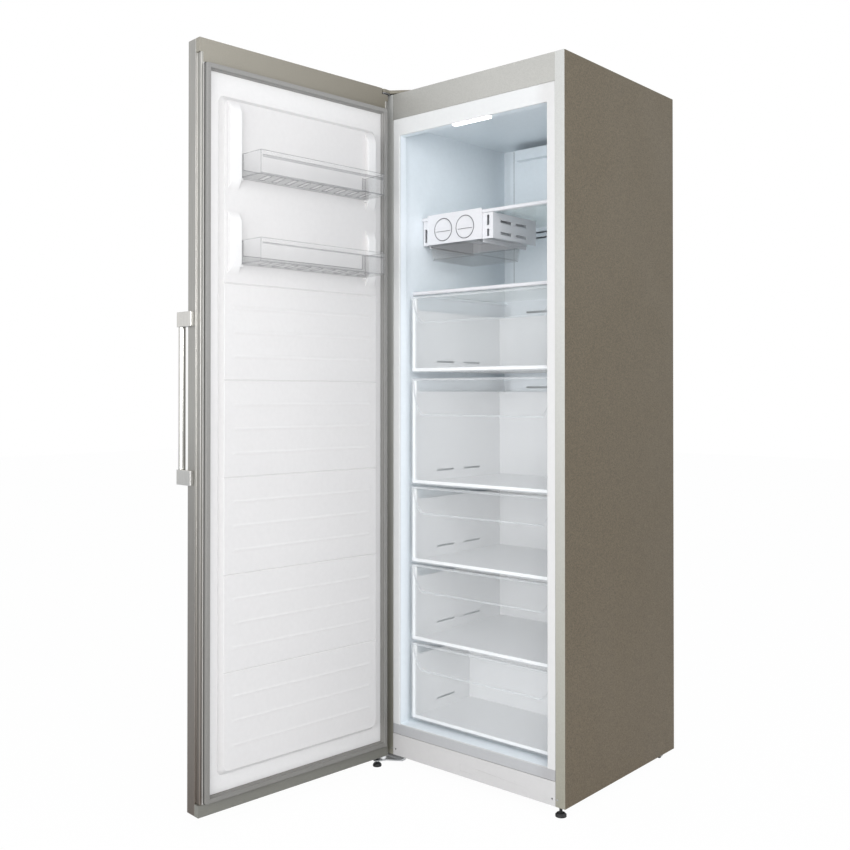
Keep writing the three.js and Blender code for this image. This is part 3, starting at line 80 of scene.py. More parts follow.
# ------------------------------------------------------------------ what a user would change
class FreezerColours(bpy.types.PropertyGroup):
    side: colour("Side panels", "Paint of the side and top panels", (0.118, 0.100, 0.068))
    # The front faces' paler tone is partly the paint's own and partly a painted sheen where the sheet faces
    # the front.
    face: colour("Front faces", "Paint of the narrow faces beside the opening", (0.54, 0.543, 0.525))
    # The rail's tone is the front faces' paint painted darker as shade.
    rail: colour("Top rail", "Paint of the rail over the opening", (0.46, 0.455, 0.43))
    door: colour("Door", "Brushed steel of the door's outer panel", (0.34, 0.334, 0.315))
    # Painted highlight: the folds of the door's panel painted paler than its steel.
    bend: colour("Door bends", "Steel where the door's panel is folded", (0.67, 0.66, 0.63))
    cap: colour("Door cap", "Plastic at the door's top", (0.29, 0.272, 0.23))
    foot_cap: colour("Door foot cap", "Plastic at the door's bottom", (0.19, 0.187, 0.165))
    seal: colour("Seal", "Door gasket", (0.25, 0.245, 0.235))
    # Painted highlight: the gasket's outer lip painted pale.
    seal_lip: colour("Seal lip", "Thin outer lip of the door gasket", (0.62, 0.61, 0.58))
    # Painted shade: the gasket's fold painted dark.
    seal_gap: colour("Seal gap", "Fold of the door gasket", (0.06, 0.058, 0.055))
    # The walls' blue tint is painted light: the bluish light inside the cabinet painted into the white
    # plastic, also on the rear cover.
    liner: colour("Liner", "Moulded walls inside the cabinet", (0.85, 0.905, 0.945))
    door_liner: colour("Door liner", "Moulded inner side of the door", (0.695, 0.685, 0.68))
    # The plinth's grey is partly its own and partly painted shade, as less light reaches it near the floor.
    plinth: colour("Plinth", "Strip under the opening", (0.545, 0.535, 0.53))
    white: colour("White plastic", "Tubs and trims", (0.87, 0.875, 0.88))
    ice: colour("Ice maker", "Plastic of the ice maker", (0.68, 0.68, 0.70))
    clear: colour("Clear plastic", "Drawer fronts", (0.80, 0.825, 0.84))
    clear_line: colour("Clear edges", "Edges of the drawer fronts", (0.74, 0.76, 0.78))
    bin: colour("Bins", "Clear bins of the door and the ice maker", (0.47, 0.475, 0.48))
    bin_line: colour("Bin edges", "Edges of the clear bins", (0.17, 0.175, 0.18))
    # Dark seams and screw heads, and painted shade: the ring in the gap round each knob and the shadow line
    # under each knob's grip.
    mark: colour("Marks", "Fine lines moulded round the knobs", (0.07, 0.07, 0.075))
    steel: colour("Handle", "Handle and its brackets", (0.62, 0.61, 0.585))
    dark: colour("Dark plastic", "Feet and slots", (0.012, 0.012, 0.013))


class FreezerSizes(bpy.types.PropertyGroup):
    sheet_edge: length("Sheet edge", "Rounding of folded steel", 0.0012)
    plastic_edge: length("Plastic edge", "Rounding of moulded plastic", 0.0008)
    grain: length("Paint grain", "Size of the grains in the side panels' paint", 0.0028)
    brush: length("Brush line", "Width of a brush line on steel", 0.0007)
    line: length("Fine line", "Width of the fine lines on the ice maker and the cold unit", 0.0012)
    knob_ring: length("Knob ring", "Width of the dark ring round a knob", 0.0018)
    proud: length("Line height", "Height of a fine line over its surface", 0.0004)
    screw: length("Screw head", "Radius of the screw heads", 0.0022)


# ------------------------------------------------------------------ limits and directions
SAME_PLACE = 0.00001  # vertices nearer than this are one vertex
FLAT = math.radians(1)  # faces closer than this are one face
FOLD = math.radians(30)  # edges with a greater angle are rounded
SHARP = math.radians(35)  # edges with a greater angle aren't shaded smooth
UP = (0, 0, 1)
BACK = (0, 1, 0)
RIGHT = (1, 0, 0)


# ------------------------------------------------------------------ shared shader effects
def new_group(name, inputs, outputs):
    group = bpy.data.node_groups.new(name, "ShaderNodeTree")
    for label, kind, default in inputs:
        socket = group.interface.new_socket(label, in_out="INPUT", socket_type=kind)
        socket.default_value = default
    for label, kind in outputs:
        group.interface.new_socket(label, in_out="OUTPUT", socket_type=kind)
    entry = group.nodes.new("NodeGroupInput")
    leave = group.nodes.new("NodeGroupOutput")
    return group, entry.outputs, leave.inputs


def add(tree, kind, **settings):
    node = tree.nodes.new(kind)
    for name, value in settings.items():
        setattr(node, name, value)
    return node


def grain_group():
    """Grains or lines: a height, and the colour made a little lighter and darker with them."""
    name = "grain"
    if name in bpy.data.node_groups:
        return bpy.data.node_groups[name]
    group, entry, leave = new_group(
        name,
        [
            ("Colour", "NodeSocketColor", (0.5, 0.5, 0.5, 1)),
            ("Scale", "NodeSocketVector", (500, 500, 500)),
            ("Contrast", "NodeSocketFloat", 0.1),
        ],
        [("Colour", "NodeSocketColor"), ("Height", "NodeSocketFloat")],
    )
    place = add(group, "ShaderNodeTexCoord")
    stretch = add(group, "ShaderNodeVectorMath", operation="MULTIPLY")
    noise = add(group, "ShaderNodeTexNoise")
    noise.inputs["Scale"].default_value = 1
    noise.inputs["Detail"].default_value = 2
    span = add(group, "ShaderNodeMapRange")
    span.inputs["From Min"].default_value = 0.3
    span.inputs["From Max"].default_value = 0.7
    span.inputs["To Min"].default_value = -1
    span.inputs["To Max"].default_value = 1
    swing = add(group, "ShaderNodeMath", operation="MULTIPLY")
    around_one = add(group, "ShaderNodeMath", operation="ADD")
    around_one.inputs[1].default_value = 1
    tint = add(group, "ShaderNodeVectorMath", operation="SCALE")
    link = group.links.new
    link(place.outputs["Object"], stretch.inputs[0])
    link(entry["Scale"], stretch.inputs[1])
    link(stretch.outputs[0], noise.inputs["Vector"])
    link(noise.outputs[0], span.inputs["Value"])
    link(span.outputs[0], swing.inputs[0])
    link(entry["Contrast"], swing.inputs[1])
    link(swing.outputs[0], around_one.inputs[0])
    link(entry["Colour"], tint.inputs[0])
    link(around_one.outputs[0], tint.inputs["Scale"])
    link(tint.outputs[0], leave["Colour"])
    link(noise.outputs[0], leave["Height"])
    return group


def cloud_group():
    """Wide soft patches, for a roughness that isn't the same all over."""
    name = "cloud"
    if name in bpy.data.node_groups:
        return bpy.data.node_groups[name]
    group, entry, leave = new_group(
        name,
        [
            ("Scale", "NodeSocketFloat", 6),
            ("Low", "NodeSocketFloat", 0.3),
            ("High", "NodeSocketFloat", 0.4),
        ],
        [("Value", "NodeSocketFloat")],
    )
    place = add(group, "ShaderNodeTexCoord")
    noise = add(group, "ShaderNodeTexNoise")
    noise.inputs["Detail"].default_value = 1
    span = add(group, "ShaderNodeMapRange", interpolation_type="SMOOTHSTEP")
    span.inputs["From Min"].default_value = 0.2
    span.inputs["From Max"].default_value = 0.8
    link = group.links.new
    link(place.outputs["Object"], noise.inputs["Vector"])
    link(entry["Scale"], noise.inputs["Scale"])
    link(noise.outputs[0], span.inputs["Value"])
    link(entry["Low"], span.inputs["To Min"])
    link(entry["High"], span.inputs["To Max"])
    link(span.outputs[0], leave["Value"])
    return group


def shade_group():
    """A colour that changes evenly from one end of a piece to the other."""
    name = "shade"
    if name in bpy.data.node_groups:
        return bpy.data.node_groups[name]
    group, entry, leave = new_group(
        name,
        [
            ("Colour", "NodeSocketColor", (0.5, 0.5, 0.5, 1)),
            ("Along", "NodeSocketVector", (0, 0, 1)),
            ("Start", "NodeSocketFloat", 0),
            ("End", "NodeSocketFloat", 1),
            ("Low", "NodeSocketColor", (1, 1, 1, 1)),
            ("High", "NodeSocketColor", (1, 1, 1, 1)),
        ],
        [("Colour", "NodeSocketColor")],
    )
    place = add(group, "ShaderNodeTexCoord")
    reach = add(group, "ShaderNodeVectorMath", operation="DOT_PRODUCT")
    span = add(group, "ShaderNodeMapRange")
    mix = add(group, "ShaderNodeMix", data_type="RGBA")
    tint = add(group, "ShaderNodeVectorMath", operation="MULTIPLY")
    link = group.links.new
    link(place.outputs["Object"], reach.inputs[0])
    link(entry["Along"], reach.inputs[1])
    link(reach.outputs["Value"], span.inputs["Value"])
    link(entry["Start"], span.inputs["From Min"])
    link(entry["End"], span.inputs["From Max"])
    link(span.outputs[0], mix.inputs["Factor"])
    link(entry["Low"], mix.inputs["A"])
    link(entry["High"], mix.inputs["B"])
    link(entry["Colour"], tint.inputs[0])
    link(mix.outputs["Result"], tint.inputs[1])
    link(tint.outputs[0], leave["Colour"])
    return group


def toned(tree, tone, scale, contrast, shades):
    """A finish's grain node, and its colour after each change from one place to another."""
    grain = add(tree, "ShaderNodeGroup", node_tree=grain_group())
    grain.inputs["Colour"].default_value = (*tone, 1)
    grain.inputs["Scale"].default_value = scale
    grain.inputs["Contrast"].default_value = contrast
    final = grain.outputs["Colour"]
    for along, start, end, low, high in shades:
        fade = add(tree, "ShaderNodeGroup", node_tree=shade_group())
        fade.inputs["Along"].default_value = along
        fade.inputs["Start"].default_value = start
        fade.inputs["End"].default_value = end
        fade.inputs["Low"].default_value = (*low, 1)
        fade.inputs["High"].default_value = (*high, 1)
        tree.links.new(final, fade.inputs["Colour"])
        final = fade.outputs["Colour"]
    return grain, final


PREFIX = "freezer "


def finish_of(
    name,
    tone,
    scale=(500, 500, 500),
    contrast=0.04,
    roughness=(0.3, 0.4),
    metallic=0.0,
    bump=0.05,
    depth=0.0001,
    coat=0.0,
    shades=(),
):
    """A Principled material whose colour, roughness and surface come from the shared groups."""
    material = bpy.data.materials.new(PREFIX + name)
    material.use_nodes = True
    tree = material.node_tree
    shader = tree.nodes["Principled BSDF"]
    shader.inputs["Metallic"].default_value = metallic
    shader.inputs["Coat Weight"].default_value = coat
    grain, final = toned(tree, tone, scale, contrast, shades)
    cloud = add(tree, "ShaderNodeGroup", node_tree=cloud_group())
    cloud.inputs["Low"].default_value = roughness[0]
    cloud.inputs["High"].default_value = roughness[1]
    relief = add(tree, "ShaderNodeBump")
    relief.inputs["Strength"].default_value = bump
    relief.inputs["Distance"].default_value = depth
    link = tree.links.new
    link(final, shader.inputs["Base Color"])
    link(cloud.outputs["Value"], shader.inputs["Roughness"])
    link(grain.outputs["Height"], relief.inputs["Height"])
    link(relief.outputs["Normal"], shader.inputs["Normal"])
    return material


def clear_finish(name, tone, thin, thick):
    """Clear plastic or glass: nearly invisible face on, denser where it is seen along its surface."""
    material = finish_of(name, tone, contrast=0.02, roughness=(0.04, 0.08), bump=0.02)
    tree = material.node_tree
    shader = tree.nodes["Principled BSDF"]
    edge = add(tree, "ShaderNodeLayerWeight")
    edge.inputs["Blend"].default_value = 0.35
    span = add(tree, "ShaderNodeMapRange")
    span.inputs["To Min"].default_value = thin
    span.inputs["To Max"].default_value = thick
    tree.links.new(edge.outputs["Facing"], span.inputs["Value"])
    tree.links.new(span.outputs[0], shader.inputs["Alpha"])
    return material


def front_mask(tree):
    """White where a surface faces the front of the freezer, where the paler tone with its painted sheen goes.
    """
    face = add(tree, "ShaderNodeTexCoord")
    split = add(tree, "ShaderNodeSeparateXYZ")
    sharp = add(tree, "ShaderNodeMapRange")
    sharp.inputs["From Min"].default_value = -0.5
    sharp.inputs["From Max"].default_value = -0.9
    tree.links.new(face.outputs["Normal"], split.inputs[0])
    tree.links.new(split.outputs["Y"], sharp.inputs["Value"])
    return sharp.outputs[0]


def side_paint(look, grains):
    """Grainy paint on the sides, lighter towards the foot as a painted reflection; the narrow front faces
    smoother and paler, partly their own paint and partly a painted sheen, and darker towards the foot as a
    painted reflection.
    """
    # Painted reflection: the side panels lighter and warmer towards the foot.
    painted_reflection_sides = (UP, 0.05, 1.2, (1.17, 1.09, 1.03), (1.0, 0.955, 0.91))
    side = finish_of(
        "side paint",
        look.side,
        scale=grains,
        contrast=0.30,
        roughness=(0.42, 0.5),
        metallic=0.35,
        bump=0.35,
        depth=0.0002,
        shades=[painted_reflection_sides],
    )
    tree = side.node_tree
    shader = tree.nodes["Principled BSDF"]
    tone = shader.inputs["Base Color"].links[0].from_socket
    # Painted reflection: the front faces darker and warmer towards the foot.
    painted_reflection_fronts = (UP, 0.05, 1.3, (0.58, 0.555, 0.47), (1, 1, 1))
    front = toned(tree, look.face, grains, 0.05, [painted_reflection_fronts])[1]
    # Paler on the front faces: partly the paint's own tone, partly a painted sheen.
    mix = add(tree, "ShaderNodeMix", data_type="RGBA")
    tree.links.new(front_mask(tree), mix.inputs["Factor"])
    tree.links.new(tone, mix.inputs["A"])
    tree.links.new(front, mix.inputs["B"])
    tree.links.new(mix.outputs["Result"], shader.inputs["Base Color"])


def metal_finishes(look, size):
    per_grain = 1 / size.grain
    grains = (per_grain, per_grain, per_grain)
    brushed = (1 / size.brush, 1 / size.brush, 8)
    side_paint(look, grains)
    # Painted shadow: the top rail darker towards the hinge end, where the hinge arm's shadow falls.
    painted_hinge_shadow = (RIGHT, 0.0, 0.35, (0.83, 0.83, 0.83), (1, 1, 1))
    smooth = {"contrast": 0.06, "roughness": (0.36, 0.44), "metallic": 0.4}
    finish_of("rail paint", look.rail, scale=grains, shades=[painted_hinge_shadow], **smooth)
    # Painted reflection: the door's steel and its folds darker and warmer towards the floor.
    painted_floor_reflection = (UP, 0.0, 0.95, (0.37, 0.31, 0.27), (1, 1, 1))
    finish_of(
        "door steel",
        look.door,
        scale=brushed,
        contrast=0.10,
        roughness=(0.30, 0.38),
        metallic=0.75,
        bump=0.15,
        shades=[painted_floor_reflection],
    )
    # Painted highlight: the folds paler than the door's steel.
    finish_of("door bend", look.bend, scale=brushed, contrast=0.08, metallic=0.75, shades=[painted_floor_reflection])
    finish_of("handle steel", look.steel, scale=brushed, contrast=0.08, roughness=(0.19, 0.26), metallic=0.95)
    finish_of("hinge steel", (0.2, 0.2, 0.2), contrast=0.12, roughness=(0.3, 0.45), metallic=0.85)
    galvanised = {"scale": (220, 220, 220), "contrast": 0.12, "roughness": (0.38, 0.5), "metallic": 0.8}
    finish_of("zinc", (0.45, 0.46, 0.47), **galvanised)
    finish_of("aluminium", (0.6, 0.61, 0.62), scale=brushed, contrast=0.08, metallic=0.9)
    finish_of("copper", (0.48, 0.2, 0.1), contrast=0.1, roughness=(0.29, 0.4), metallic=0.95)
    finish_of("black paint", (0.015, 0.015, 0.016), contrast=0.2, roughness=(0.29, 0.42), bump=0.2, coat=0.2)


def painted_door_liner_light():
    """Painted light for the door's liner: its wide panel painted duller than its rim as shade, and what
    stands out painted paler as highlight.
    """
    along = door_turn().to_3x3() @ Vector(BACK)
    tops = max(along.dot(vert.co) for vert in frame["nodes"]["door_liner"].data.vertices)
    rim, panel, tower_foot, tower = (tops - depth for depth in (0.033, 0.016, 0.0145, 0.004))
    painted_shade_panel = (along, rim, panel, (1, 1, 1), (0.91, 0.905, 0.905))
    painted_highlight_towers = (along, tower_foot, tower, (1, 1, 1), (1.18, 1.19, 1.19))
    return [painted_shade_panel, painted_highlight_towers]


def plastic_finishes(look):
    soft = {"scale": (90, 90, 90), "contrast": 0.012, "roughness": (0.29, 0.34), "bump": 0.1, "depth": 0.0003}
    # Painted shade: the liner's front flange darker and less blue than the walls inside.
    rim = (BACK, 0.042, 0.047, (0.785, 0.742, 0.708), (1, 1, 1))
    # Painted shade: the liner darker at the right stile and the right wall.
    painted_shade_right = (RIGHT, 0.50, 0.53, (1, 1, 1), (0.90, 0.885, 0.88))
    # Painted shade: the liner's band under the sill darker.
    painted_shade_under_sill = (UP, 0.1128, 0.1139, (0.62, 0.62, 0.635), (1, 1, 1))
    finish_of("liner", look.liner, **soft, shades=[rim, painted_shade_right, painted_shade_under_sill])
    finish_of("cover", look.liner, **soft)
    finish_of("door liner", look.door_liner, **soft, shades=painted_door_liner_light())
    # Partly painted shade: the plinth darker than the liner.
    finish_of("plinth", look.plinth, **soft)
    moulded = {"scale": (160, 160, 160), "contrast": 0.012, "roughness": (0.29, 0.36), "bump": 0.06}
    finish_of("white plastic", look.white, **moulded)
    finish_of("ice plastic", look.ice, **moulded)
    cap = {"contrast": 0.06, "roughness": (0.42, 0.5), "metallic": 0.2, "bump": 0.2}
    # Painted shade: the door cap darker towards the hinge.
    painted_shade_to_hinge = (BACK, -0.6, 0.0, (1, 1, 1), (0.66, 0.645, 0.61))
    finish_of("cap plastic", look.cap, **cap, shades=[painted_shade_to_hinge])
    finish_of("foot cap plastic", look.foot_cap, **cap)
    rubber = {"contrast": 0.06, "roughness": (0.6, 0.72)}
    # Darker towards the bottom.
    darker_towards_foot = (UP, 0.1, 1.2, (0.80, 0.79, 0.77), (1, 1, 1))
    finish_of("seal", look.seal, **rubber, shades=[darker_towards_foot])
    finish_of("seal lip highlight", look.seal_lip, **rubber, shades=[darker_towards_foot])
    finish_of("seal gap shade", look.seal_gap, **rubber)
    finish_of("dark plastic", look.dark, contrast=0.2, roughness=(0.42, 0.55), bump=0.2)
    # Also painted shade: the knob rings and the shadow lines under the knob grips.
    finish_of("mark", look.mark, contrast=0.1, roughness=(0.4, 0.5))
    finish_of("foam", (0.68, 0.55, 0.28), scale=(700, 700, 700), contrast=0.2, roughness=(0.8, 0.9), bump=0.5)
    clear_finish("clear plastic", look.clear, thin=0.07, thick=0.45)
    clear_finish("clear line", look.clear_line, thin=0.5, thick=0.85)
    clear_finish("bin plastic", look.bin, thin=0.07, thick=0.22)
    clear_finish("bin line", look.bin_line, thin=0.4, thick=0.6)
    clear_finish("shelf glass", (0.8, 0.9, 0.88), thin=0.08, thick=0.6)
    lamp = finish_of("lamp", (1, 1, 1), contrast=0.01)
    shader = lamp.node_tree.nodes["Principled BSDF"]
    shader.inputs["Emission Color"].default_value = (1, 1, 1, 1)
    shader.inputs["Emission Strength"].default_value = 5


def finish(name):
    """One of the freezer's materials, all of which are made the first time."""
    if PREFIX + "side paint" not in bpy.data.materials:
        metal_finishes(bpy.context.scene.freezer_colours, bpy.context.scene.freezer_sizes)
        plastic_finishes(bpy.context.scene.freezer_colours)
    return bpy.data.materials[PREFIX + name]


# ------------------------------------------------------------------ pieces
def body_of(node):
    for body, names in frame["record"]["behaviour"]["bodies"].items():
        if node in names:
            return body
    raise ValueError(f"{node} is in no body")


def dress(nodes, material):
    """Gives CAD nodes that keep their own shape a material."""
    for node in nodes:
        mesh = frame["nodes"][node].data
        if not mesh.materials:
            mesh.materials.append(None)
        for index in range(len(mesh.materials)):
            mesh.materials[index] = finish(material)


def place(name, mesh, body, material):
    """Makes an object of a mesh and lets it ride on a body."""
    piece = bpy.data.objects.new(name, mesh)
    bpy.context.scene.collection.objects.link(piece)
    mesh.materials.clear()
    mesh.materials.append(finish(material))
    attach(piece, body)
    return piece


def made_whole(piece):
    """The mesh of a piece with its modifiers."""
    graph = bpy.context.evaluated_depsgraph_get()
    return bpy.data.meshes.new_from_object(piece.evaluated_get(graph))


def mesh_of(shape, name):
    """A mesh with the form of a bmesh, which is freed."""
    mesh = bpy.data.meshes.new(name)
    shape.to_mesh(mesh)
    shape.free()
    return mesh


def surface(mesh):
    """The area of a mesh."""
    mesh.calc_loop_triangles()
    return sum(triangle.area for triangle in mesh.loop_triangles)


def turned_over(mesh):
    """The area of the triangles that face against their polygon, which would show as dark slivers."""
    mesh.calc_loop_triangles()
    against = (
        triangle.area
        for triangle in mesh.loop_triangles
        if triangle.normal.dot(mesh.polygons[triangle.polygon_index].normal) < 0
    )
    return sum(against)


def rounded(piece, radius, segments, edge_slot):
    """Rounds a piece's edges, with a smaller radius where the wished one would fold its faces."""
    least_area, most_area = 0.94, 1.01
    slivers_allowed = 0.001
    bevel = piece.modifiers.new("round", "BEVEL")
    bevel.segments = segments
    bevel.limit_method = "ANGLE"
    bevel.angle_limit = FOLD
    bevel.use_clamp_overlap = False
    bevel.miter_outer = "MITER_ARC"
    bevel.material = edge_slot
    area = surface(piece.data)
    unfolded = []
    for share in (1, 0.7, 0.45, 0.3, 0.15):
        bevel.width = radius * share
        tried = made_whole(piece)
        if not least_area < surface(tried) / area < most_area:
            continue
        unfolded.append(tried)
        if turned_over(tried) < area * slivers_allowed:
            break
    piece.modifiers.clear()
    if unfolded:
        piece.data = min(unfolded, key=turned_over)


def softened(node, material, radius, segments=2, edge=None):
    """Takes the place of a CAD node: its form in large faces without inward corners, its edges rounded."""
    shape = bmesh.new()
    shape.from_mesh(frame["nodes"][node].data)
    bmesh.ops.remove_doubles(shape, verts=shape.verts, dist=SAME_PLACE)
    bmesh.ops.dissolve_limit(shape, angle_limit=FLAT, verts=shape.verts, edges=shape.edges)
    bmesh.ops.connect_verts_concave(shape, faces=shape.faces)
    mesh = mesh_of(shape, f"{node}_soft")
    piece = place(f"{node}_soft", mesh, body_of(node), material)
    if edge:
        mesh.materials.append(finish(edge))
    rounded(piece, radius, segments, 1 if edge else 0)
    piece.data.shade_smooth()
    piece.data.set_sharp_from_angle(angle=SHARP)
    even = piece.modifiers.new("even", "WEIGHTED_NORMAL")
    even.keep_sharp = True
    mesh = made_whole(piece)
    piece.modifiers.clear()
    piece.data = mesh
    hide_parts(node)
    return piece


def bar(name, low, high, body, material, soft=0.0001):
    """A thin bar between two corners, with rounded edges."""
    shape = bmesh.new()
    bmesh.ops.create_cube(shape, size=2)
    for vert in shape.verts:
        vert.co = [high[axis] if vert.co[axis] > 0 else low[axis] for axis in range(3)]
    bmesh.ops.bevel(shape, geom=shape.edges, offset=soft, segments=2, profile=0.5, affect="EDGES")
    return place(name, mesh_of(shape, name), body, material)


def turned(name, profile, centre, body, material, sides):
    """A round form about a line from front to back.

    The profile holds radius and depth. It goes outwards over the front, then back along the
    outside, and closes by itself. A point on the line itself is a single vertex.
    """
    verts = []
    rings = []
    for radius, depth in profile:
        ring = range(len(verts), len(verts) + (sides if radius else 1))
        rings.append(ring)
        for step in range(len(ring)):
            angle = math.tau * step / sides
            out = Vector((radius * math.cos(angle), depth, radius * math.sin(angle)))
            verts.append(Vector(centre) + out)
    faces = []
    for ring, following in zip(rings, rings[1:] + rings[:1]):
        for step in range(sides):
            way_round = ((ring, step), (following, step), (following, step + 1), (ring, step + 1))
            corners = dict.fromkeys(loop[at % len(loop)] for loop, at in way_round)
            if len(corners) > 2:
                faces.append(list(corners))
    mesh = bpy.data.meshes.new(name)
    mesh.from_pydata(verts, [], faces)
    mesh.shade_smooth()
    mesh.set_sharp_from_angle(angle=SHARP)
    return place(name, mesh, body, material)


def screw_pair(name, nodes, head, material, in_from_side, over_edge):
    """Heads in the screw hole near the left side of one node and near the right side of another."""
    for side, node in zip(("left", "right"), nodes):
        low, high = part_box(node)
        x = low.x + in_from_side if side == "left" else high.x - in_from_side
        centre = (x, low.y, low.z + over_edge)
        turned(f"{name}_{side}", head, centre, body_of(node), material, sides=20)


def door_turn():
    """The turn that opens a shut door as far as it stands open at rest."""
    joints = frame["record"]["behaviour"]["joints"]
    swing = next(joint for joint in joints if joint["name"] == "door_swing")
    pivot = Vector(swing["pos_m"])
    shut = math.radians(swing["range_deg"][0])
    turn = Matrix.Rotation(-shut, 4, Vector(swing["axis"]))
    return Matrix.Translation(pivot) @ turn @ Matrix.Translation(-pivot)


def shut_box(node):
    """The lowest and highest corners of a node of the door, with the door shut."""
    back = door_turn().inverted()
    corners = [back @ vert.co for vert in frame["nodes"][node].data.vertices]
    return [Vector(pick(corner[axis] for corner in corners) for axis in range(3)) for pick in (min, max)]


def rounded_rectangle(low, high, inset, depth, corner, steps=5):
    """Points round an upright rectangle, inset from a box's sides and behind its front."""
    least_radius = 0.0005
    quarter = math.pi / 2
    y = low.y + depth
    radius = max(corner - inset, least_radius)
    left, right = low.x + inset + radius, high.x - inset - radius
    bottom, top = low.z + inset + radius, high.z - inset - radius
    points = []
    for turn, (x, z) in enumerate(((right, bottom), (right, top), (left, top), (left, bottom))):
        for step in range(steps + 1):
            angle = quarter * (turn - 1 + step / steps)
            points.append((x + radius * math.cos(angle), y, z + radius * math.sin(angle)))
    return points


def framed(name, low, high, profile, corner, materials, node):
    """A profile carried round an upright rectangle with rounded corners, in place of a door node.

    The profile holds the inset from the outer edge, the depth, and the number of the material of
    the strip that begins there. It is drawn for a shut door and then opened.
    """
    crease = math.radians(40)
    rings = [rounded_rectangle(low, high, inset, depth, corner) for inset, depth, _ in profile]
    count = len(rings[0])
    verts = [point for ring in rings for point in ring]
    faces = []
    owners = []
    for row, (_, _, owner) in enumerate(profile):
        following = (row + 1) % len(profile)
        for i in range(count):
            j = (i + 1) % count
            faces.append((row * count + i, row * count + j, following * count + j, following * count + i))
            owners.append(owner)
    mesh = bpy.data.meshes.new(name)
    mesh.from_pydata(verts, [], faces)
    mesh.transform(door_turn())
    piece = place(name, mesh, body_of(node), materials[0])
    for material in materials[1:]:
        mesh.materials.append(finish(material))
    for face, owner in zip(mesh.polygons, owners):
        face.material_index = owner
    shape = bmesh.new()
    shape.from_mesh(mesh)
    bmesh.ops.recalc_face_normals(shape, faces=shape.faces)
    shape.to_mesh(mesh)
    shape.free()
    mesh.shade_smooth()
    mesh.set_sharp_from_angle(angle=crease)
    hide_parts(node)
    return piece


# ------------------------------------------------------------------ operators
class FREEZER_OT_studio(bpy.types.Operator):
    """Makes the floor, the lamps, the background and the camera"""

    bl_idname = "freezer.studio"
    bl_label = "Studio"

    def execute(self, context):
        floor_mesh = bpy.data.meshes.new("floor")
        far = 14
        corners = [(-far, -far, 0), (far, -far, 0), (far, far, 0), (-far, far, 0)]
        floor_mesh.from_pydata(corners, [], [(0, 1, 2, 3)])
        floor = bpy.data.objects.new("floor", floor_mesh)
        context.scene.collection.objects.link(floor)
        floor_mesh.materials.append(self.floor_material())
        self.background(context.scene)
        self.lamps(context.scene)
        self.camera(context.scene)
        return {"FINISHED"}

    def floor_material(self):
        material = bpy.data.materials.new("studio floor")
        material.use_nodes = True
        glow_share = 0.975
        tree = material.node_tree
        shader = tree.nodes["Principled BSDF"]
        shader.inputs["Base Color"].default_value = (0.9, 0.9, 0.9, 1)
        shader.inputs["Roughness"].default_value = 0.9
        shader.inputs["Specular IOR Level"].default_value = 0
        glow = add(tree, "ShaderNodeEmission")
        ray = add(tree, "ShaderNodeLightPath")
        share = add(tree, "ShaderNodeMath", operation="MULTIPLY")
        share.inputs[1].default_value = glow_share
        mix = add(tree, "ShaderNodeMixShader")
        link = tree.links.new
        link(ray.outputs["Is Camera Ray"], share.inputs[0])
        link(share.outputs[0], mix.inputs[0])
        link(shader.outputs[0], mix.inputs[1])
        link(glow.outputs[0], mix.inputs[2])
        link(mix.outputs[0], tree.nodes["Material Output"].inputs[0])
        return material

    def background(self, scene):
        world = bpy.data.worlds.new("studio")
        world.use_nodes = True
        scene.world = world
        tree = world.node_tree
        light = tree.nodes["Background"]
        light.inputs["Color"].default_value = (0.93, 0.96, 1, 1)
        light.inputs["Strength"].default_value = 0.72
        white = add(tree, "ShaderNodeBackground")
        white.inputs["Strength"].default_value = 1
        white.inputs["Color"].default_value = (1, 1, 1, 1)
        ray = add(tree, "ShaderNodeLightPath")
        seen = add(tree, "ShaderNodeMath", operation="MAXIMUM")
        through = add(tree, "ShaderNodeMath", operation="MAXIMUM")
        mix = add(tree, "ShaderNodeMixShader")
        link = tree.links.new
        link(ray.outputs["Is Camera Ray"], seen.inputs[0])
        link(ray.outputs["Is Glossy Ray"], seen.inputs[1])
        link(seen.outputs[0], through.inputs[0])
        link(ray.outputs["Is Transmission Ray"], through.inputs[1])
        link(through.outputs[0], mix.inputs[0])
        link(light.outputs[0], mix.inputs[1])
        link(white.outputs[0], mix.inputs[2])
        link(mix.outputs[0], tree.nodes["World Output"].inputs[0])

    def lamps(self, scene):
        self.lamp(scene, "key", at=(2.2, -3.2, 2.6), towards=(0.3, 0.2, 1.0), size=2.2, power=27)
        self.lamp(scene, "fill", at=(0.75, -3.2, 1.0), towards=(0.3, 0.3, 1.0), size=1.8, power=38)
        self.lamp(scene, "near", at=(2.4, -1.3, 1.7), towards=(0.1, 0.15, 1.3), size=1.0, power=20)
        self.lamp(scene, "side", at=(4.2, 1.2, 2.2), towards=(0.5, 0.3, 0.9), size=1.8, power=24)

    def lamp(self, scene, name, at, towards, size, power):
        light = bpy.data.lights.new(name, "AREA")
        light.shape = "SQUARE"
        light.size = size
        light.energy = power
        holder = bpy.data.objects.new(name, light)
        holder.location = at
        holder.rotation_euler = (Vector(towards) - Vector(at)).to_track_quat("-Z", "Y").to_euler()
        scene.collection.objects.link(holder)

    def camera(self, scene):
        yaw = math.radians(40.834)
        pitch = math.radians(0.492)
        lens = bpy.data.cameras.new("camera")
        lens.sensor_width = 36
        lens.lens = 42.30
        lens.shift_x = -0.0140
        lens.shift_y = -0.0465
        camera = bpy.data.objects.new("camera", lens)
        camera.location = (1.92697, -1.97849, 1.02282)
        look = Vector((-math.sin(yaw) * math.cos(pitch), math.cos(yaw) * math.cos(pitch), math.sin(pitch)))
        camera.rotation_euler = look.to_track_quat("-Z", "Y").to_euler()
        scene.collection.objects.link(camera)
        scene.camera = camera
        scene.view_settings.view_transform = "Standard"


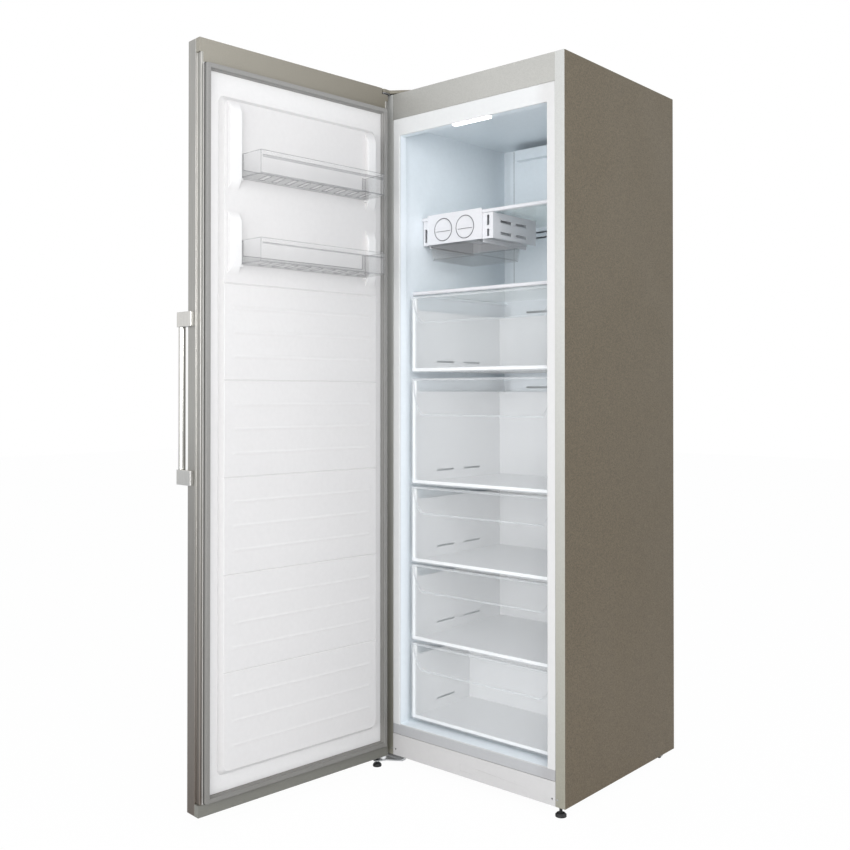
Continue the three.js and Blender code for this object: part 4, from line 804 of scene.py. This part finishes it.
class FREEZER_OT_shell(bpy.types.Operator):
    """Finishes the steel outside of the cabinet"""

    bl_idname = "freezer.shell"
    bl_label = "Steel shell"

    def execute(self, context):
        edge = context.scene.freezer_sizes.sheet_edge
        for node in ("left_side_panel", "right_side_panel"):
            softened(node, "side paint", edge * 0.35)
        softened("front_top_rail", "rail paint", edge * 0.35)
        softened("top_panel", "side paint", edge * 0.35)
        dress(["back_panel", "base_plate"], "zinc")
        dress(["cabinet_insulation", "door_insulation"], "foam")
        self.screws(context.scene.freezer_sizes.screw)
        return {"FINISHED"}

    def screws(self, radius):
        """A flat head in the hole at the foot of each side panel's narrow face."""
        top, rim, foot = 0.0001, 0.0003, 0.0007
        head = [(0, top), (radius, rim), (radius, foot), (0, foot)]
        panels = ("left_side_panel", "right_side_panel")
        screw_pair("side_screw", panels, head, "zinc", in_from_side=0.023, over_edge=0.017)


class FREEZER_OT_liner(bpy.types.Operator):
    """Finishes the white inside, the plinth and the lamp cover"""

    bl_idname = "freezer.liner"
    bl_label = "Liner, plinth and lamp"

    def execute(self, context):
        edge = context.scene.freezer_sizes.plastic_edge
        softened("inner_liner", "liner", edge * 2.5, segments=3)
        softened("front_plinth", "plinth", edge * 0.5)
        dress(["ceiling_lamp_cover"], "lamp")
        self.screws(context.scene.freezer_sizes.screw)
        return {"FINISHED"}

    def screws(self, radius):
        """Heads with a round recess in the plinth's two screw holes."""
        recess = radius * 0.5
        top, rim, floor, foot = 0.0005, 0.0009, 0.0012, 0.002
        head = [(0, floor), (recess, floor), (recess, top), (radius, rim), (radius, foot), (0, foot)]
        plinth = ("front_plinth", "front_plinth")
        screw_pair("plinth_screw", plinth, head, "mark", in_from_side=0.0097, over_edge=0.0167)


class FREEZER_OT_cold_unit(bpy.types.Operator):
    """Finishes the rear cover and the coil, heater and fan behind it"""

    bl_idname = "freezer.cold_unit"
    bl_label = "Cold air unit"

    def execute(self, context):
        edge = context.scene.freezer_sizes.plastic_edge
        softened("evaporator_cover", "cover", edge)
        self.seams(context.scene.freezer_sizes)
        dress(["evaporator_coil"], "aluminium")
        dress(["defrost_heater"], "zinc")
        dress(["fan_motor"], "dark plastic")
        dress(["fan_wheel"], "white plastic")
        return {"FINISHED"}

    def seams(self, size):
        """Upright joint lines near both sides of the cover."""
        low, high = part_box("evaporator_cover")
        in_from_edge = 0.014
        room = 0.002
        lower_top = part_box("lower_shelf_glass")[1].z
        upper_foot, upper_top = (corner.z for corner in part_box("upper_shelf_glass"))
        spans = [(lower_top, upper_foot), (upper_top, high.z)]
        for side, x in (("left", low.x + in_from_edge), ("right", high.x - in_from_edge)):
            for number, (bottom, top) in enumerate(spans):
                start = (x - size.line / 2, self.face() - size.proud, bottom + room)
                end = (x + size.line / 2, self.face() + size.proud, top - room)
                bar(f"cover_seam_{side}_{number}", start, end, body_of("evaporator_cover"), "mark")

    def face(self):
        """Where the cover's flat front lies, behind its outlet."""
        depths = {}
        mesh = frame["nodes"]["evaporator_cover"].data
        for polygon in mesh.polygons:
            if polygon.normal.y < -0.99:
                y = round(polygon.center.y, 5)
                depths[y] = depths.get(y, 0) + polygon.area
        return max(depths, key=depths.get)


class FREEZER_OT_shelves(bpy.types.Operator):
    """Finishes both shelves"""

    bl_idname = "freezer.shelves"
    bl_label = "Shelves"

    def execute(self, context):
        edge = context.scene.freezer_sizes.plastic_edge
        for which in ("upper", "lower"):
            softened(f"{which}_shelf_glass", "shelf glass", edge * 0.5)
            softened(f"{which}_shelf_trim", "ice plastic", edge)
        return {"FINISHED"}


class FREEZER_OT_ice_maker(bpy.types.Operator):
    """Finishes the ice maker, its knobs, trays and bin"""

    bl_idname = "freezer.ice_maker"
    bl_label = "Ice maker"

    def execute(self, context):
        edge = context.scene.freezer_sizes.plastic_edge
        softened("ice_maker_frame", "ice plastic", edge * 0.6)
        for side in ("left", "right"):
            softened(f"ice_knob_{side}", "ice plastic", edge * 0.5)
            softened(f"ice_tray_{side}", "ice plastic", edge * 0.5)
            self.ring(side, context.scene.freezer_sizes)
        softened("ice_bin", "bin plastic", edge, edge="bin line")
        return {"FINISHED"}

    def ring(self, side, size):
        """The dark ring on the front plate round a knob, painted shade in the gap there, and a painted shadow
        line under the knob's grip.
        """
        low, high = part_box(f"ice_knob_{side}")
        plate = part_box("ice_maker_frame")[0].y
        centre = ((low.x + high.x) / 2, plate, (low.z + high.z) / 2)
        inner = (high.x - low.x) / 2 + size.proud
        outer = inner + size.knob_ring
        section = [(inner, 0), (inner, -size.proud), (outer, -size.proud), (outer, 0)]
        turned(f"ice_ring_shade_{side}", section, centre, body_of("ice_maker_frame"), "mark", sides=64)
        half_line = inner * 0.8
        half_grip = 0.004
        start = (centre[0] - half_line, low.y + size.proud / 2, centre[2] - half_grip - size.line)
        end = (centre[0] + half_line, low.y + 3 * size.proud, centre[2] - half_grip)
        bar(f"ice_knob_shadow_{side}", start, end, body_of(f"ice_knob_{side}"), "mark")


class FREEZER_OT_drawers(bpy.types.Operator):
    """Finishes the five drawers"""

    bl_idname = "freezer.drawers"
    bl_label = "Drawers"

    def execute(self, context):
        edge = context.scene.freezer_sizes.plastic_edge
        for number in range(1, 6):
            softened(f"drawer_{number}_tub", "white plastic", edge)
            softened(f"drawer_{number}_front", "clear plastic", edge, edge="clear line")
        return {"FINISHED"}


class FREEZER_OT_door(bpy.types.Operator):
    """Finishes the door's panel, liner, seal and caps"""

    bl_idname = "freezer.door"
    bl_label = "Door"

    def execute(self, context):
        size = context.scene.freezer_sizes
        softened("door_outer_panel", "door steel", size.sheet_edge * 0.6, edge="door bend")
        softened("door_liner", "door liner", size.plastic_edge, segments=3)
        softened("door_top_cap", "cap plastic", size.plastic_edge)
        softened("door_bottom_cap", "foot cap plastic", size.plastic_edge)
        self.seal()
        return {"FINISHED"}

    def seal(self):
        """The gasket: a foot, a thin outer lip, a fold, and the hollow cushion that holds the magnet; its lip
        painted pale as a highlight, its fold painted dark as shade.
        """
        low, high = shut_box("door_gasket")
        tall = high.y - low.y
        wide = 0.017
        # The lip's strips take a painted highlight, the fold's strips a painted shade.
        main, lip, gap = 0, 1, 2
        profile = [
            (0.0002, 0, main),
            (0.0002, 0.0010, lip),
            (0.0000, 0.0016, lip),
            (0.0002, 0.0030, gap),
            (0.0022, 0.0036, gap),
            (0.0024, 0.0056, main),
            (0.0022, tall - 0.0012, main),
            (0.0034, tall, main),
            (wide - 0.0044, tall, main),
            (wide - 0.0032, tall - 0.0012, main),
            (wide - 0.0034, 0.0070, main),
            (wide - 0.0024, 0.0058, main),
            (wide - 0.0012, 0.0052, main),
            (wide, 0.0036, main),
            (wide, 0, main),
        ]
        corner = 0.006
        rubber = ("seal", "seal lip highlight", "seal gap shade")
        framed("door_gasket_folds", low, high, profile, corner, rubber, "door_gasket")


class FREEZER_OT_door_bins(bpy.types.Operator):
    """Finishes the two clear bins of the door"""

    bl_idname = "freezer.door_bins"
    bl_label = "Door bins"

    def execute(self, context):
        edge = context.scene.freezer_sizes.plastic_edge
        for which in ("upper", "lower"):
            softened(f"door_bin_{which}", "bin plastic", edge * 1.2, edge="bin line")
        return {"FINISHED"}


class FREEZER_OT_handle(bpy.types.Operator):
    """Finishes the handle"""

    bl_idname = "freezer.handle"
    bl_label = "Handle"

    def execute(self, context):
        edge = context.scene.freezer_sizes.sheet_edge
        for which in ("upper", "lower"):
            softened(f"handle_bracket_{which}", "handle steel", edge, segments=3)
        softened("handle_bar", "handle steel", edge * 0.6)
        return {"FINISHED"}


class FREEZER_OT_running_gear(bpy.types.Operator):
    """Finishes hinges, feet and rollers"""

    bl_idname = "freezer.running_gear"
    bl_label = "Hinges, feet and rollers"

    def execute(self, context):
        edge = context.scene.freezer_sizes.sheet_edge
        softened("upper_hinge_bracket", "hinge steel", edge * 0.4)
        softened("upper_hinge_cover", "cap plastic", edge)
        softened("lower_hinge_bracket", "zinc", edge * 0.4)
        softened("lower_hinge_bush", "white plastic", edge * 0.3)
        for side in ("left", "right"):
            softened(f"front_{side}_foot", "dark plastic", edge * 0.5)
            softened(f"rear_{side}_roller", "dark plastic", edge * 0.4)
        return {"FINISHED"}


class FREEZER_OT_machine(bpy.types.Operator):
    """Finishes the compressor and what stands round it"""

    bl_idname = "freezer.machine"
    bl_label = "Machine compartment"

    def execute(self, context):
        edge = context.scene.freezer_sizes.sheet_edge
        softened("compressor", "black paint", edge)
        softened("compressor_relay", "dark plastic", edge)
        softened("evaporation_pan", "dark plastic", edge)
        dress(["condenser_coil"], "zinc")
        softened("filter_drier", "copper", edge * 0.5)
        softened("refrigerant_pipe", "copper", edge * 0.3)
        return {"FINISHED"}


OPERATORS = (
    FREEZER_OT_studio,
    FREEZER_OT_shell,
    FREEZER_OT_liner,
    FREEZER_OT_cold_unit,
    FREEZER_OT_shelves,
    FREEZER_OT_ice_maker,
    FREEZER_OT_drawers,
    FREEZER_OT_door,
    FREEZER_OT_door_bins,
    FREEZER_OT_handle,
    FREEZER_OT_running_gear,
    FREEZER_OT_machine,
)


class FREEZER_PT_panel(bpy.types.Panel):
    """Lists the freezer's colours, sizes and steps"""

    bl_label = "Freezer"
    bl_idname = "FREEZER_PT_panel"
    bl_space_type = "VIEW_3D"
    bl_region_type = "UI"
    bl_category = "Freezer"

    def draw(self, context):
        for group in (context.scene.freezer_colours, context.scene.freezer_sizes):
            box = self.layout.box()
            for name in group.__annotations__:
                box.prop(group, name)
        for operator in OPERATORS:
            self.layout.operator(operator.bl_idname)


CLASSES = (FreezerColours, FreezerSizes, *OPERATORS, FREEZER_PT_panel)


def register():
    for item in CLASSES:
        bpy.utils.register_class(item)
    bpy.types.Scene.freezer_colours = PointerProperty(type=FreezerColours)
    bpy.types.Scene.freezer_sizes = PointerProperty(type=FreezerSizes)


def unregister():
    del bpy.types.Scene.freezer_sizes
    del bpy.types.Scene.freezer_colours
    for item in reversed(CLASSES):
        bpy.utils.unregister_class(item)


def main():
    register()
    for operator in OPERATORS:
        group, name = operator.bl_idname.split(".")
        getattr(getattr(bpy.ops, group), name)()
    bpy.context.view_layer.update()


if __name__ == "__main__":
    main()
